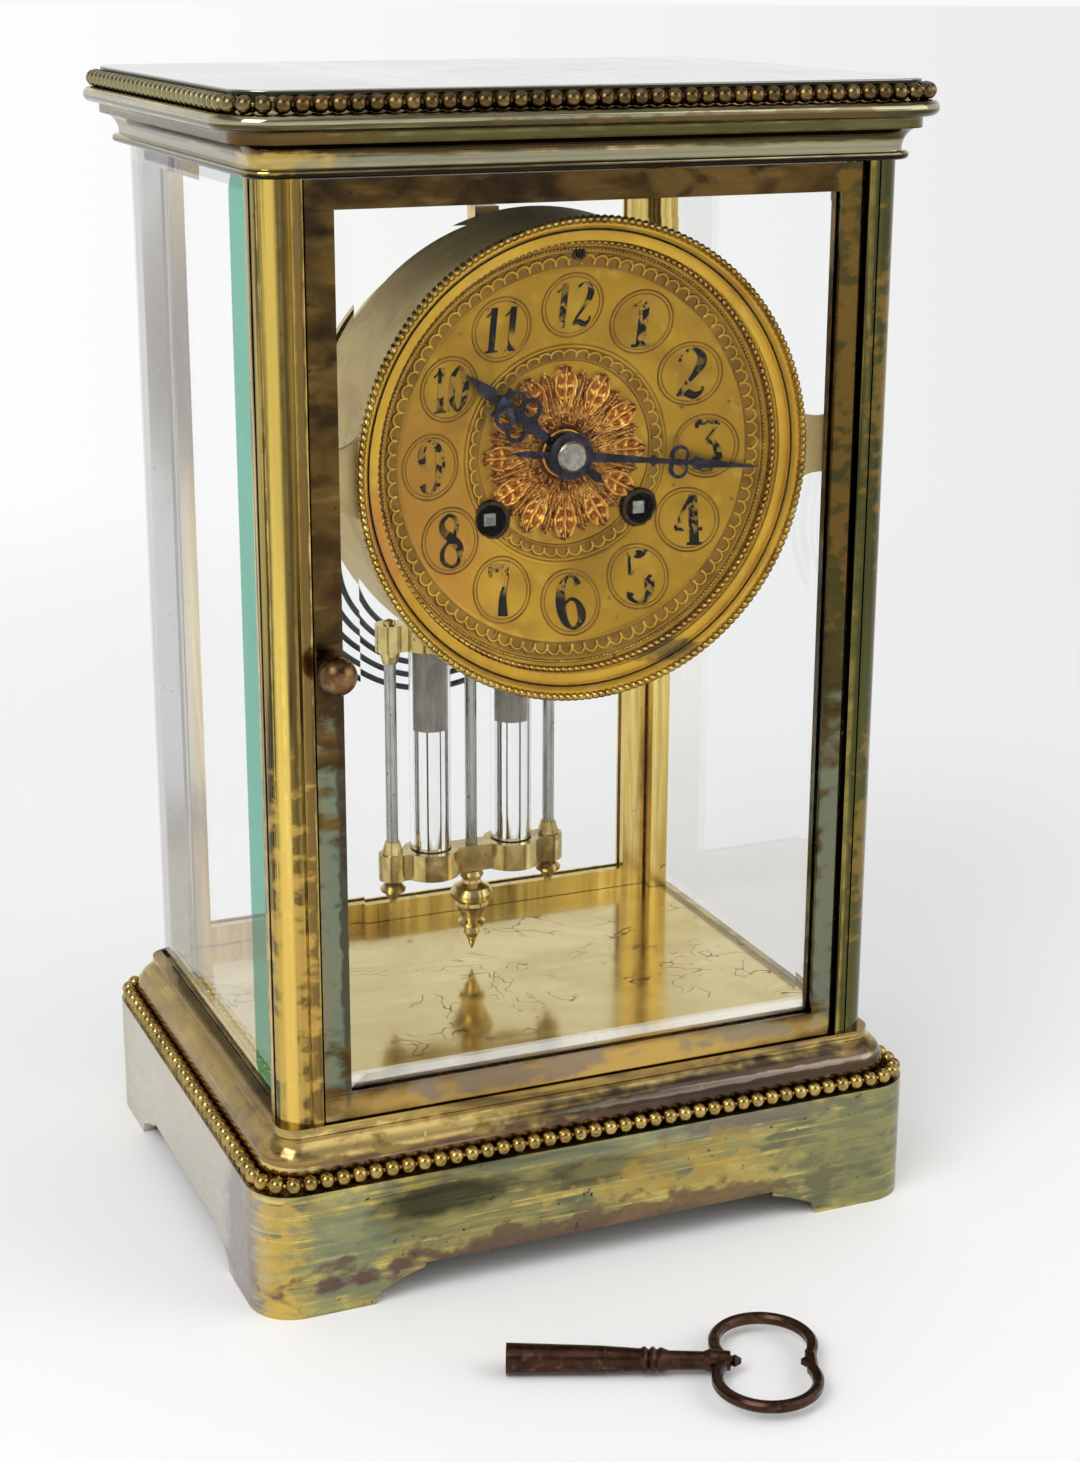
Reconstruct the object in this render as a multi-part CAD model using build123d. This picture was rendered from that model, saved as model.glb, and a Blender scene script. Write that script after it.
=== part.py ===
from build123d import *
import os
from math import atan2, cos, degrees, hypot, pi, radians, sin, sqrt

# A brass four-glass mantel clock with a mercury pendulum and its winding key.
# Millimetres. X to the right, Y to the back, Z up; the origin is under the middle of the base.

# Case
DOOR_WIDTH = 130.0
DOOR_HEIGHT = 208.4
DOOR_THICK = 5.5
DOOR_STILE = 6.35
DOOR_RAIL = 6.15
DOOR_GAP = 0.3
CASE_DEPTH = 115.2
PILLAR_SIZE = 9.4
PILLAR_COLUMN_R = 6.3
PILLAR_STRIP = 2.5
PILLAR_GROOVE = 0.6
SIDE_PANE_INSET = 2.2
GLASS_THICK = 2.2
GLASS_BEVEL = 5.4
GLASS_BEVEL_DROP = 1.0
GLASS_TUCK = 1.2
GLASS_PLAY = 0.05
DOOR_LIP = 1.0

# Base
PLINTH_HEIGHT = 30.5
PLINTH_OVERHANG = 8.9
PLINTH_CORNER_R = 10.4
PLINTH_WALL = 3.0
FOOT_LENGTH = 26.8
FOOT_CORNER = (1.2, 3.0)
ARCH_RUN = 12.1
ARCH_RISE = 7.1
APRON_STEP = 1.0
MOULDING_HEIGHT = 12.1
MOULDING_RIB = 2.1
MOULDING_RIB_OVERHANG = 0.9
MOULDING_CORNER_R = 5.0
MOULDING_FLARE = 4.15
MOULDING_FOOT = 1.6
MOULDING_INNER = 14.6
MOULDING_CORE = 3.0
BEAD_R = 1.86
BEAD_PITCH = 3.86
BEAD_STRIP = 1.2
BASE_BEAD_INSET = 1.9
FLOOR_THICK = 1.2
FLOOR_PLAY = 0.3
PANE_BACK_PLAY = 0.3

# Cornice
ASTRAGAL_R = 1.0
ASTRAGAL_OVERHANG = 1.9
CAVETTO_TOP = 6.9
CAVETTO_IN = 0.3
CAVETTO_OUT = 3.7
FILLET_TOP = 9.4
FILLET_OVERHANG = 4.7
TORUS_TOP = 12.9
TORUS_OVERHANG = 8.3
DECK_HEIGHT = 3.3
DECK_OVERHANG = 3.7
CORNICE_CORNER_R = 4.5
CORNICE_BEAD_OVERHANG = 5.6
TOP_PLATE_THICK = 1.3
TOP_PLATE_LIP = 0.3

# Fasteners, hinges and latches
SCREW_R = 1.2
SCREW_DEPTH = 8.0
SCREW_HEAD_R = 2.1
SCREW_HEAD = 1.4
PIN_R = 1.2
PIN_LENGTH = 2.6
PIN_EDGE = 2.6
RUN = 0.05
KNOB_R = 4.2
KNOB_REACH = 5.7
KNOB_HEIGHT = 105.8
SPINDLE_R = 1.4
TONGUE_LENGTH = 5.6
TONGUE_HALF = 1.6
TONGUE_THICK = 1.4
JOINT_LINE = 0.25

# Dial and drum
DIAL_HEIGHT = 144.9
BEZEL_R = 53.1
BEZEL_SETBACK = 4.2
BEZEL_EDGE = 1.2
BEZEL_INNER_R = 47.9
BEZEL_DROP = 5.5
DIAL_SHEET = 1.0
DIAL_RINGS = ((47.5, 5.7), (42.3, 7.1), (33.4, 9.6), (23.7, 12.2), (20.7, 13.3), (18.0, 13.9), (3.2, 14.3))
ROSETTE_R = 19.5
ROSETTE_RISE = 0.7
DRUM_R = 51.5
DRUM_WALL = 1.2
DRUM_DEPTH = 13.0
DRUM_FLANGE_R = 37.6
DRUM_SKIRT = 31.0
REGULATOR_DEPTH = 9.0
REGULATOR_R = 45.0
WINDING_X = 18.2
WINDING_DROP = 13.6
WINDING_HOLE_R = 4.0

# Straps that carry the drum
STRAP_THICK = 2.4
STRAP_WIDTH = 3.4
STRAP_BOTTOM = 116.0
STRAP_TOP = 182.0
TAB_HALF = 9.4
TAB_WAIST = 6.4
TAB_THICK = 1.5

# Movement
PLATE_R = 42.5
PLATE_THICK = 1.8
PLATE_GAP = 33.0
PLATE_PILLAR_R = 3.0
PLATE_PILLAR_RING = 38.0
PLATE_PILLAR_ANGLES = (45, 135, 250, 290)
POST_R = 2.2
POST_RING = 40.0
POST_LENGTH = 8.6
POST_ANGLES = (20, 160, 200, 340)
ARBOR_R = 0.8
SEAT_R = 0.6
THIN_ARBOR_R = 0.45
PIVOT_END = 0.2
WHEEL_THICK = 1.2
RIM = 1.6
BARREL_TEETH = 96
BARREL_MODULE = 0.37
BARREL_LENGTH = 24.0
BARREL_WALL = 0.8
BARREL_ARBOR_R = 2.0
SQUARE = 2.8
RATCHET_R = 6.0
RATCHET_TEETH = 24
SPRING_BAND = 0.45
SPRING_PITCH = 1.3
SPRING_TURNS = 8
LOW_PINION = 12
MID_TEETH = 48
CENTRE_PINION = 16
MID_MODULE = 0.4
FINE_MODULE = 0.25
CENTRE_TEETH = 84
SMALL_PINION = 7
THIRD_TEETH = 77
THIRD_ANGLE = 122.0
ESCAPE_TEETH = 40
ESCAPE_R = 7.0
ANCHOR_RISE = 9.2
CANNON_TEETH = 12
MINUTE_TEETH = 36
MOTION_MODULE = 0.35
HOUR_TEETH = 48
PIN_WHEEL_TEETH = 60
PIN_WHEEL_MODULE = 0.3
PIN_WHEEL_ANGLE = 110.0
FLY_ANGLE = 75.0
FLY_HALF = 5.5
FLY_LENGTH = 14.0
STRIKE_PINS = 8

# Hands, set to sixteen minutes past ten
HOURS = 10
MINUTES = 16
HAND_THICK = 0.5
HAND_LIFT = 2.2
HAND_GAP = 1.6
HAND_SLOPE = 0.12
HOUR_LENGTH = 32.0
HOUR_TAIL = 11.5
MINUTE_LENGTH = 44.7
MINUTE_TAIL = 14.5
HAND_NUT_R = 3.5
HAND_NUT = 1.2
COLLET_R = 5.3
CANNON_R = 1.4
HOUR_PIPE_R = 2.5

# Pendulum
PENDULUM_Y = 18.5
BAR_HEIGHT = 6.9
BAR_LOBE_R = 7.2
BAR_END_R = 3.6
BAR_NECK = 2.9
LOW_BAR_Z = 72.5
HIGH_BAR_Z = 132.6
ROD_R = 1.5
ROD_X = 21.4
VIAL_X = 11.0
VIAL_R = 5.25
VIAL_WALL = 0.9
VIAL_SEAT = 4.6
MERCURY_TOP = 108.0
COLLAR = 3.2
NUT_TOP = 68.6
NUT_POINT = 46.5

# Gong and hammer
GONG_Y = 44.4
GONG_Z = 146.0
GONG_WIRE = 1.5
GONG_INNER = 22.0
GONG_PITCH = 3.4
GONG_HALF_TURNS = 10
GONG_BLOCK = 6.0
HAMMER_X = -38.5
HAMMER_RISE = 6.0
HAMMER_HEAD_R = 3.0
HAMMER_HEAD = 6.0
HAMMER_GAP = 1.2

# Winding key
KEY_MOUTH = (-40.4, -104.6)
KEY_END = (22.0, -131.9)
KEY_BARREL_R = 3.4
KEY_NECK_R = 2.3
KEY_BORE = 14.0
KEY_BOW_W = 38.5
KEY_BOW_L = 24.0
KEY_BAR = 2.4
KEY_WAIST = 0.8
KEY_CUSP = 2.0
KEY_EDGE = 0.55
KEY_THICK = 2.4

# Places worked out from the sizes above
HALF_W = DOOR_WIDTH / 2 + DOOR_GAP + PILLAR_SIZE
HALF_D = CASE_DEPTH / 2
DOOR_BOTTOM = PLINTH_HEIGHT + MOULDING_HEIGHT
DOOR_TOP = DOOR_BOTTOM + DOOR_HEIGHT
FRONT = -HALF_D
DIAL_Z = DOOR_BOTTOM + DIAL_HEIGHT
BEZEL_Y = FRONT + BEZEL_SETBACK
DIAL_DEEP = DIAL_RINGS[-1][1]
DIAL_Y = BEZEL_Y + DIAL_DEEP
DRUM_FRONT = BEZEL_Y + BEZEL_EDGE
DRUM_BACK = DRUM_FRONT + DRUM_DEPTH
PLATE_F0 = DRUM_BACK + POST_LENGTH
PLATE_F1 = PLATE_F0 + PLATE_THICK
PLATE_B0 = PLATE_F1 + PLATE_GAP
PLATE_B1 = PLATE_B0 + PLATE_THICK
WINDING_Z = DIAL_Z - WINDING_DROP
PILLAR_HOLE = (PILLAR_SIZE - PILLAR_STRIP - PILLAR_GROOVE, 0.55 * PILLAR_SIZE)


# Basic solids
def block(x0, x1, y0, y1, z0, z1):
    return Pos((x0 + x1) / 2, (y0 + y1) / 2, (z0 + z1) / 2) * Box(x1 - x0, y1 - y0, z1 - z0)


def rod_x(y, z, x0, x1, radius):
    return Pos((x0 + x1) / 2, y, z) * Rot(0, 90, 0) * Cylinder(radius, x1 - x0)


def rod_y(x, z, y0, y1, radius):
    return Pos(x, (y0 + y1) / 2, z) * Rot(90, 0, 0) * Cylinder(radius, y1 - y0)


def rod_z(x, y, z0, z1, radius):
    return Pos(x, y, (z0 + z1) / 2) * Cylinder(radius, z1 - z0)


def turned_z(x, y, profile):
    outline = Polyline([(r, 0, z) for r, z in profile], close=True)
    return Pos(x, y, 0) * revolve(make_face(outline), Axis.Z)


def turned_y(x, z, profile):
    outline = Polyline([(r, y, 0) for r, y in profile], close=True)
    return Pos(x, 0, z) * revolve(make_face(outline), Axis.Y)


def slab(half_w, half_d, radius, z0, z1):
    return extrude(Pos(0, 0, z0) * RectangleRounded(2 * half_w, 2 * half_d, radius), z1 - z0)


def joined(shapes):
    whole = shapes[0]
    for shape in shapes[1:]:
        whole += shape
    return whole


def loop_path(half_w, half_d, radius, z):
    # A closed rounded rectangle that starts in the middle of its front side
    w, d, r = half_w, half_d, radius
    k = r * (1 - sqrt(0.5))
    edges = [Edge.make_line((0, -d, z), (w - r, -d, z))]
    edges.append(Edge.make_three_point_arc((w - r, -d, z), (w - k, -d + k, z), (w, -d + r, z)))
    edges.append(Edge.make_line((w, -d + r, z), (w, d - r, z)))
    edges.append(Edge.make_three_point_arc((w, d - r, z), (w - k, d - k, z), (w - r, d, z)))
    edges.append(Edge.make_line((w - r, d, z), (r - w, d, z)))
    edges.append(Edge.make_three_point_arc((r - w, d, z), (k - w, d - k, z), (-w, d - r, z)))
    edges.append(Edge.make_line((-w, d - r, z), (-w, r - d, z)))
    edges.append(Edge.make_three_point_arc((-w, r - d, z), (k - w, k - d, z), (r - w, -d, z)))
    edges.append(Edge.make_line((r - w, -d, z), (0, -d, z)))
    return Wire(edges)


def moulded_frame(half_w, half_d, radius, outline, z0, z1):
    # The outline of the outer moulding, in the YZ plane, runs round a plain frame that carries it
    strip = sweep(make_face(outline), path=loop_path(half_w, half_d, radius, 0))
    inset = MOULDING_CORE / 2
    core = slab(half_w - inset, half_d - inset, radius - inset, z0, z1)
    core -= slab(HALF_W - MOULDING_INNER, HALF_D - MOULDING_INNER, 2, z0, z1)
    return core + strip


def bead_ring(half_w, half_d, corner, z):
    # Beads on a flat strip, evenly spaced round the closed frame
    path = loop_path(half_w, half_d, corner, z)
    count = round(path.length / BEAD_PITCH)
    half = BEAD_STRIP / 2
    ring = slab(half_w + half, half_d + half, corner + half, z - BEAD_R, z)
    ring -= slab(half_w - half, half_d - half, corner - half, z - BEAD_R, z)
    beads = [Pos(path @ (i / count)) * Sphere(BEAD_R) for i in range(count)]
    return ring.fuse(*beads)


def toothed(x, z, y0, y1, teeth, module, bore, facing, gap_faces=False, rim=RIM):
    # A wheel or pinion in the XZ plane; a tooth, or a gap, faces the given direction in degrees
    pitch_r = teeth * module / 2
    root = pitch_r - 1.25 * module
    tip = pitch_r + 0.75 * module
    step = 2 * pi / teeth
    start = radians(facing) + (step / 2 if gap_faces else 0)
    outline = []
    for i in range(teeth):
        for share, r in ((-0.30, root), (-0.10, tip), (0.10, tip), (0.30, root)):
            a = start + step * (i + share)
            outline.append((r * cos(a), 0, r * sin(a)))
    face = make_face(Polyline(outline, close=True))
    wheel = Pos(x, y0, z) * extrude(face, amount=y1 - y0, dir=(0, 1, 0))
    if root > 3 * rim:
        hub = max(bore + 1.2, 2.0)
        window = rod_y(x, z, y0, y1, root - rim) - rod_y(x, z, y0, y1, hub)
        for angle in range(0, 180, 36):
            arm = Pos(x, 0, z) * Rot(0, angle, 0) * block(-root, root, y0, y1, -rim / 2, rim / 2)
            window -= arm
        wheel -= window
    return wheel - rod_y(x, z, y0, y1, bore)


def pane(width, height, thick, bevel, drop):
    # A bevelled pane, standing in the XZ plane with its front face at y = 0 and its foot at z = 0
    back = block(-width / 2, width / 2, drop, thick, 0, height)
    rim = Plane.XZ.offset(-drop) * Pos(0, height / 2) * Rectangle(width, height)
    face = Plane.XZ * Pos(0, height / 2) * Rectangle(width - 2 * bevel, height - 2 * bevel)
    return back + loft(Sketch() + [rim, face])


# Case
def base_plinth():
    w = HALF_W + PLINTH_OVERHANG
    d = HALF_D + PLINTH_OVERHANG
    wall = PLINTH_WALL
    shell = slab(w, d, PLINTH_CORNER_R, 0, PLINTH_HEIGHT)
    shell -= slab(w - wall, d - wall, PLINTH_CORNER_R - wall, 0, PLINTH_HEIGHT - wall)
    shell -= slab(HALF_W - MOULDING_INNER, HALF_D - MOULDING_INNER, 2, 0, PLINTH_HEIGHT)
    for half, other, turn in ((w, d, 0), (d, w, 90)):
        shell -= Rot(0, 0, turn) * arch_cut(half, other)
    return shell


def arch_cut(half, reach):
    foot = half - FOOT_LENGTH
    lean, rise = FOOT_CORNER
    inner = foot - ARCH_RUN
    top = ARCH_RISE + APRON_STEP
    mid = (inner + 0.32 * ARCH_RUN, ARCH_RISE - 0.28 * (ARCH_RISE - rise))
    right = [
        Line((foot, 0, 0), (foot - lean, 0, rise)),
        ThreePointArc((foot - lean, 0, rise), (mid[0], 0, mid[1]), (inner, 0, ARCH_RISE)),
        Line((inner, 0, ARCH_RISE), (inner, 0, top)),
    ]
    left = [mirror(edge, about=Plane.YZ) for edge in right]
    closing = [Line((inner, 0, top), (-inner, 0, top)), Line((foot, 0, 0), (-foot, 0, 0))]
    face = make_face(Curve() + right + left + closing)
    return extrude(face, amount=2 * reach, dir=(0, 1, 0), both=True)


def base_moulding():
    y = -(HALF_D + MOULDING_RIB_OVERHANG)
    low = PLINTH_HEIGHT
    top = DOOR_BOTTOM
    flare = y - MOULDING_FLARE
    inner = y + MOULDING_CORE
    rib = top - MOULDING_RIB
    foot = low + MOULDING_FOOT
    outline = Curve() + [
        Line((0, inner, low), (0, flare, low)),
        Line((0, flare, low), (0, flare, foot)),
        ThreePointArc((0, flare, foot), (0, flare + 0.3 * MOULDING_FLARE, rib - 0.3 * (rib - foot)),
                      (0, y + 0.4, rib)),
        Line((0, y + 0.4, rib), (0, y, rib)),
        Line((0, y, rib), (0, y, top)),
        Line((0, y, top), (0, inner, top)),
        Line((0, inner, top), (0, inner, low)),
    ]
    over = MOULDING_RIB_OVERHANG
    frame = moulded_frame(HALF_W + over, HALF_D + over, MOULDING_CORNER_R, outline, low, top)
    return frame - panes_slot() - pillar_holes() - door_pin_holes()


def base_bead_ring():
    inset = PLINTH_OVERHANG - BASE_BEAD_INSET
    corner = PLINTH_CORNER_R - BASE_BEAD_INSET
    z = PLINTH_HEIGHT + BEAD_R
    return bead_ring(HALF_W + inset, HALF_D + inset, corner, z)


def floor_plate():
    side = HALF_W - SIDE_PANE_INSET - GLASS_THICK - FLOOR_PLAY
    depth = HALF_D - DOOR_THICK - FLOOR_PLAY
    plate = block(-side, side, -depth, depth, DOOR_BOTTOM, DOOR_BOTTOM + FLOOR_THICK)
    notch_x = HALF_W - PILLAR_SIZE - FLOOR_PLAY
    notch_y = HALF_D - PILLAR_SIZE - FLOOR_PLAY
    for sx in (-1, 1):
        for sy in (-1, 1):
            corner = Pos(sx * (notch_x + 10), sy * (notch_y + 10), DOOR_BOTTOM) * Box(20, 20, 4)
            plate -= corner
    return plate


def pillar(sx, sy, slotted):
    # The plan is drawn for the outer corner at (0, 0), inwards along both sides
    s, c, g, r = PILLAR_SIZE, PILLAR_STRIP, PILLAR_GROOVE, PILLAR_COLUMN_R
    edge = s - c
    groove = edge - g
    face = g / 2
    k = (groove - face) * (1 - sqrt(0.5)) + face
    outline = Curve() + [
        Line((s, 0), (edge, 0)), Line((edge, 0), (edge, 2 * g)), Line((edge, 2 * g), (groove, 2 * g)),
        Line((groove, 2 * g), (groove, face)),
        ThreePointArc((groove, face), (k, k), (face, groove)),
        Line((face, groove), (2 * g, groove)), Line((2 * g, groove), (2 * g, edge)),
        Line((2 * g, edge), (0, edge)), Line((0, edge), (0, s)), Line((0, s), (s, s)), Line((s, s), (s, 0)),
    ]
    post = Pos(0, 0, DOOR_BOTTOM) * extrude(make_face(outline), DOOR_HEIGHT)
    slot_x = (SIDE_PANE_INSET - GLASS_PLAY, SIDE_PANE_INSET + GLASS_THICK + GLASS_PLAY)
    post -= block(slot_x[0], slot_x[1], s - GLASS_TUCK - GLASS_PLAY, s, DOOR_BOTTOM, DOOR_TOP)
    for z0 in (DOOR_BOTTOM, DOOR_TOP - SCREW_DEPTH):
        post -= rod_z(PILLAR_HOLE[0], PILLAR_HOLE[1], z0, z0 + SCREW_DEPTH, SCREW_R + RUN)
    if slotted:
        z = DOOR_BOTTOM + KNOB_HEIGHT
        depth = PILLAR_SIZE - (TONGUE_LENGTH - (DOOR_STILE / 2 + DOOR_GAP)) - 0.6
        post -= block(depth, s, DOOR_THICK, DOOR_THICK + TONGUE_THICK + 0.5,
                      z - TONGUE_LENGTH - 1, z + TONGUE_HALF + 0.9)
    if sy > 0:
        # The side pane runs past the back pillars, to the back of the case
        post -= block(0, slot_x[1], 0, s, DOOR_BOTTOM, DOOR_TOP)
    if sx > 0:
        post = mirror(post, about=Plane.YZ)
    if sy > 0:
        post = mirror(post, about=Plane.XZ)
    return Pos(sx * HALF_W, sy * HALF_D, 0) * post


def corners():
    return [(sx, sy) for sx in (-1, 1) for sy in (-1, 1)]


def pillar_holes():
    x, y = HALF_W - PILLAR_HOLE[0], HALF_D - PILLAR_HOLE[1]
    holes = [rod_z(sx * x, sy * y, 0, DOOR_TOP + TORUS_TOP, SCREW_R + RUN) for sx, sy in corners()]
    return joined(holes)


def case_screws():
    x, y = HALF_W - PILLAR_HOLE[0], HALF_D - PILLAR_HOLE[1]
    screws = []
    low = PLINTH_HEIGHT - PLINTH_WALL
    high = DOOR_TOP + TORUS_TOP
    for sx, sy in corners():
        up = rod_z(sx * x, sy * y, low, DOOR_BOTTOM + SCREW_DEPTH - 0.5, SCREW_R)
        up += rod_z(sx * x, sy * y, low - SCREW_HEAD, low, SCREW_HEAD_R)
        down = rod_z(sx * x, sy * y, DOOR_TOP - SCREW_DEPTH + 0.5, high, SCREW_R)
        down += rod_z(sx * x, sy * y, high, high + SCREW_HEAD, SCREW_HEAD_R)
        screws += [up, down]
    return Compound(children=screws)


def panes_slot():
    # Grooves for the feet and heads of the two side panes
    slots = []
    front = PILLAR_SIZE - HALF_D - GLASS_TUCK - GLASS_PLAY
    back = HALF_D - PANE_BACK_PLAY + GLASS_PLAY
    tuck = GLASS_TUCK + GLASS_PLAY
    for sx in (-1, 1):
        x0 = HALF_W - SIDE_PANE_INSET - GLASS_THICK - GLASS_PLAY
        x1 = HALF_W - SIDE_PANE_INSET + GLASS_PLAY
        low, high = sorted((sx * x0, sx * x1))
        slots.append(block(low, high, front, back, DOOR_BOTTOM - tuck, DOOR_TOP + tuck))
    return joined(slots)


def side_glasses():
    front = PILLAR_SIZE - HALF_D - GLASS_TUCK
    back = HALF_D - PANE_BACK_PLAY
    height = DOOR_HEIGHT + 2 * GLASS_TUCK
    sheet = pane(back - front, height, GLASS_THICK, GLASS_BEVEL, GLASS_BEVEL_DROP)
    middle = (front + back) / 2
    right = Pos(HALF_W - SIDE_PANE_INSET, middle, DOOR_BOTTOM - GLASS_TUCK) * Rot(0, 0, 90) * sheet
    return Compound(children=[right, mirror(right, about=Plane.YZ)])


def door_pin_spots():
    x = DOOR_WIDTH / 2 - PIN_EDGE
    y = HALF_D - DOOR_THICK / 2
    return ((x, -y), (-x, y))


def door_pin_holes():
    depth = PIN_LENGTH - DOOR_GAP + 0.2
    low, high = DOOR_BOTTOM - depth, DOOR_TOP + depth
    return joined([rod_z(x, y, low, high, PIN_R + RUN) for x, y in door_pin_spots()])


def cornice():
    y = -HALF_D
    z = DOOR_TOP
    inner = y + MOULDING_CORE
    bead = 2 * ASTRAGAL_R
    cove = (y - CAVETTO_IN, z + bead)
    cove_end = (y - CAVETTO_OUT, z + CAVETTO_TOP)
    cove_mid = (cove[0] - 0.25 * (CAVETTO_OUT - CAVETTO_IN), cove[1] + 0.62 * (CAVETTO_TOP - bead))
    fillet = (y - FILLET_OVERHANG, z + FILLET_TOP)
    torus_mid = (y - TORUS_OVERHANG, z + (FILLET_TOP + TORUS_TOP) / 2)
    torus_in = y - TORUS_OVERHANG + (TORUS_TOP - FILLET_TOP) / 2
    deck = (y - DECK_OVERHANG, z + TORUS_TOP + DECK_HEIGHT)
    astragal = y - ASTRAGAL_OVERHANG
    outline = Curve() + [
        Line((0, inner, z), (0, astragal + ASTRAGAL_R, z)),
        ThreePointArc((0, astragal + ASTRAGAL_R, z), (0, astragal, z + ASTRAGAL_R),
                      (0, astragal + ASTRAGAL_R, z + bead)),
        Line((0, astragal + ASTRAGAL_R, z + bead), (0, cove[0], cove[1])),
        ThreePointArc((0, cove[0], cove[1]), (0, cove_mid[0], cove_mid[1]), (0, cove_end[0], cove_end[1])),
        Line((0, cove_end[0], cove_end[1]), (0, fillet[0], cove_end[1])),
        Line((0, fillet[0], cove_end[1]), (0, fillet[0], fillet[1])),
        Line((0, fillet[0], fillet[1]), (0, torus_in, fillet[1])),
        ThreePointArc((0, torus_in, fillet[1]), (0, torus_mid[0], torus_mid[1]),
                      (0, torus_in, z + TORUS_TOP)),
        Line((0, torus_in, z + TORUS_TOP), (0, deck[0], z + TORUS_TOP)),
        Line((0, deck[0], z + TORUS_TOP), (0, deck[0], deck[1])),
        Line((0, deck[0], deck[1]), (0, deck[0] + 3, deck[1])),
        Line((0, deck[0] + 3, deck[1]), (0, deck[0] + 3, z + TORUS_TOP)),
        Line((0, deck[0] + 3, z + TORUS_TOP), (0, inner, z + TORUS_TOP)),
        Line((0, inner, z + TORUS_TOP), (0, inner, z)),
    ]
    frame = moulded_frame(HALF_W, HALF_D, CORNICE_CORNER_R, outline, z, z + TORUS_TOP)
    return frame - panes_slot() - pillar_holes() - door_pin_holes()


def cornice_bead_ring():
    over = CORNICE_BEAD_OVERHANG
    z = DOOR_TOP + TORUS_TOP + BEAD_R
    return bead_ring(HALF_W + over, HALF_D + over, CORNICE_CORNER_R + over, z)


def top_plate():
    over = DECK_OVERHANG + TOP_PLATE_LIP
    z = DOOR_TOP + TORUS_TOP + DECK_HEIGHT
    plate = slab(HALF_W + over, HALF_D + over, CORNICE_CORNER_R + over, z, z + TOP_PLATE_THICK)
    return fillet(plate.edges().group_by(Axis.Z)[-1], 0.4)


# Doors; each is drawn as the front door and turned half round for the back
def placed_door(shape, back):
    return Rot(0, 0, 180) * shape if back else shape


def door_frame():
    w = DOOR_WIDTH / 2
    z0, z1 = DOOR_BOTTOM + DOOR_GAP, DOOR_TOP - DOOR_GAP
    y0, y1 = FRONT, FRONT + DOOR_THICK
    frame = block(-w, w, y0, y1, z0, z1)
    hinge_edges = frame.edges().filter_by(Axis.Z).group_by(Axis.X)[-1]
    frame = fillet(hinge_edges, PIN_EDGE - 0.05)
    free_edges = frame.edges().filter_by(Axis.Z).group_by(Axis.X)[0]
    frame = fillet(free_edges, 0.5)
    inner = w - DOOR_STILE
    low, high = z0 + DOOR_RAIL, z1 - DOOR_RAIL
    frame -= block(-inner, inner, y0, y1, low, high)
    slot = GLASS_TUCK + GLASS_PLAY
    glass_y = y0 + DOOR_LIP
    frame -= block(-inner - slot, inner + slot, glass_y - GLASS_PLAY, glass_y + GLASS_THICK + GLASS_PLAY,
                   low - slot, high + slot)
    for z in (low, high):
        for sx in (-1, 1):
            frame -= Pos(sx * inner, y0, z) * Box(2 * DOOR_STILE, JOINT_LINE, JOINT_LINE)
    knob_z = DOOR_BOTTOM + KNOB_HEIGHT
    frame -= rod_y(-w + DOOR_STILE / 2, knob_z, y0, y1, SPINDLE_R + RUN)
    x, y = door_pin_spots()[0]
    for z in (z0, z1 - PIN_LENGTH):
        frame -= rod_z(x, y, z, z + PIN_LENGTH, PIN_R + RUN)
    return frame


def door_glass():
    width = DOOR_WIDTH - 2 * DOOR_STILE + 2 * GLASS_TUCK
    height = DOOR_HEIGHT - 2 * DOOR_GAP - 2 * DOOR_RAIL + 2 * GLASS_TUCK
    sheet = pane(width, height, GLASS_THICK, GLASS_BEVEL, GLASS_BEVEL_DROP)
    y = FRONT + DOOR_LIP
    return Pos(0, y, DOOR_BOTTOM + DOOR_GAP + DOOR_RAIL - GLASS_TUCK) * sheet


def door_pins():
    x, y = door_pin_spots()[0]
    low = rod_z(x, y, DOOR_BOTTOM - PIN_LENGTH + DOOR_GAP, DOOR_BOTTOM + DOOR_GAP + PIN_LENGTH, PIN_R)
    high = rod_z(x, y, DOOR_TOP - DOOR_GAP - PIN_LENGTH, DOOR_TOP - DOOR_GAP + PIN_LENGTH, PIN_R)
    return Compound(children=[low, high])


def door_knob():
    x = -DOOR_WIDTH / 2 + DOOR_STILE / 2
    z = DOOR_BOTTOM + KNOB_HEIGHT
    centre = FRONT - KNOB_REACH
    back = FRONT + DOOR_THICK
    knob = Pos(x, centre, z) * Sphere(KNOB_R)
    knob += turned_y(x, z, [(0, centre), (1.9, centre), (1.7, FRONT - 1.1), (2.7, FRONT - 0.9),
                            (2.7, FRONT - RUN), (0, FRONT - RUN)])
    knob += rod_y(x, z, FRONT - 0.5, back + 0.1 + TONGUE_THICK, SPINDLE_R)
    y0, y1 = back + 0.1, back + 0.1 + TONGUE_THICK
    tongue = block(x - TONGUE_HALF, x + TONGUE_HALF, y0, y1, z - TONGUE_LENGTH, z)
    tongue += rod_y(x, z, y0, y1, TONGUE_HALF)
    return knob + tongue


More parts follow.
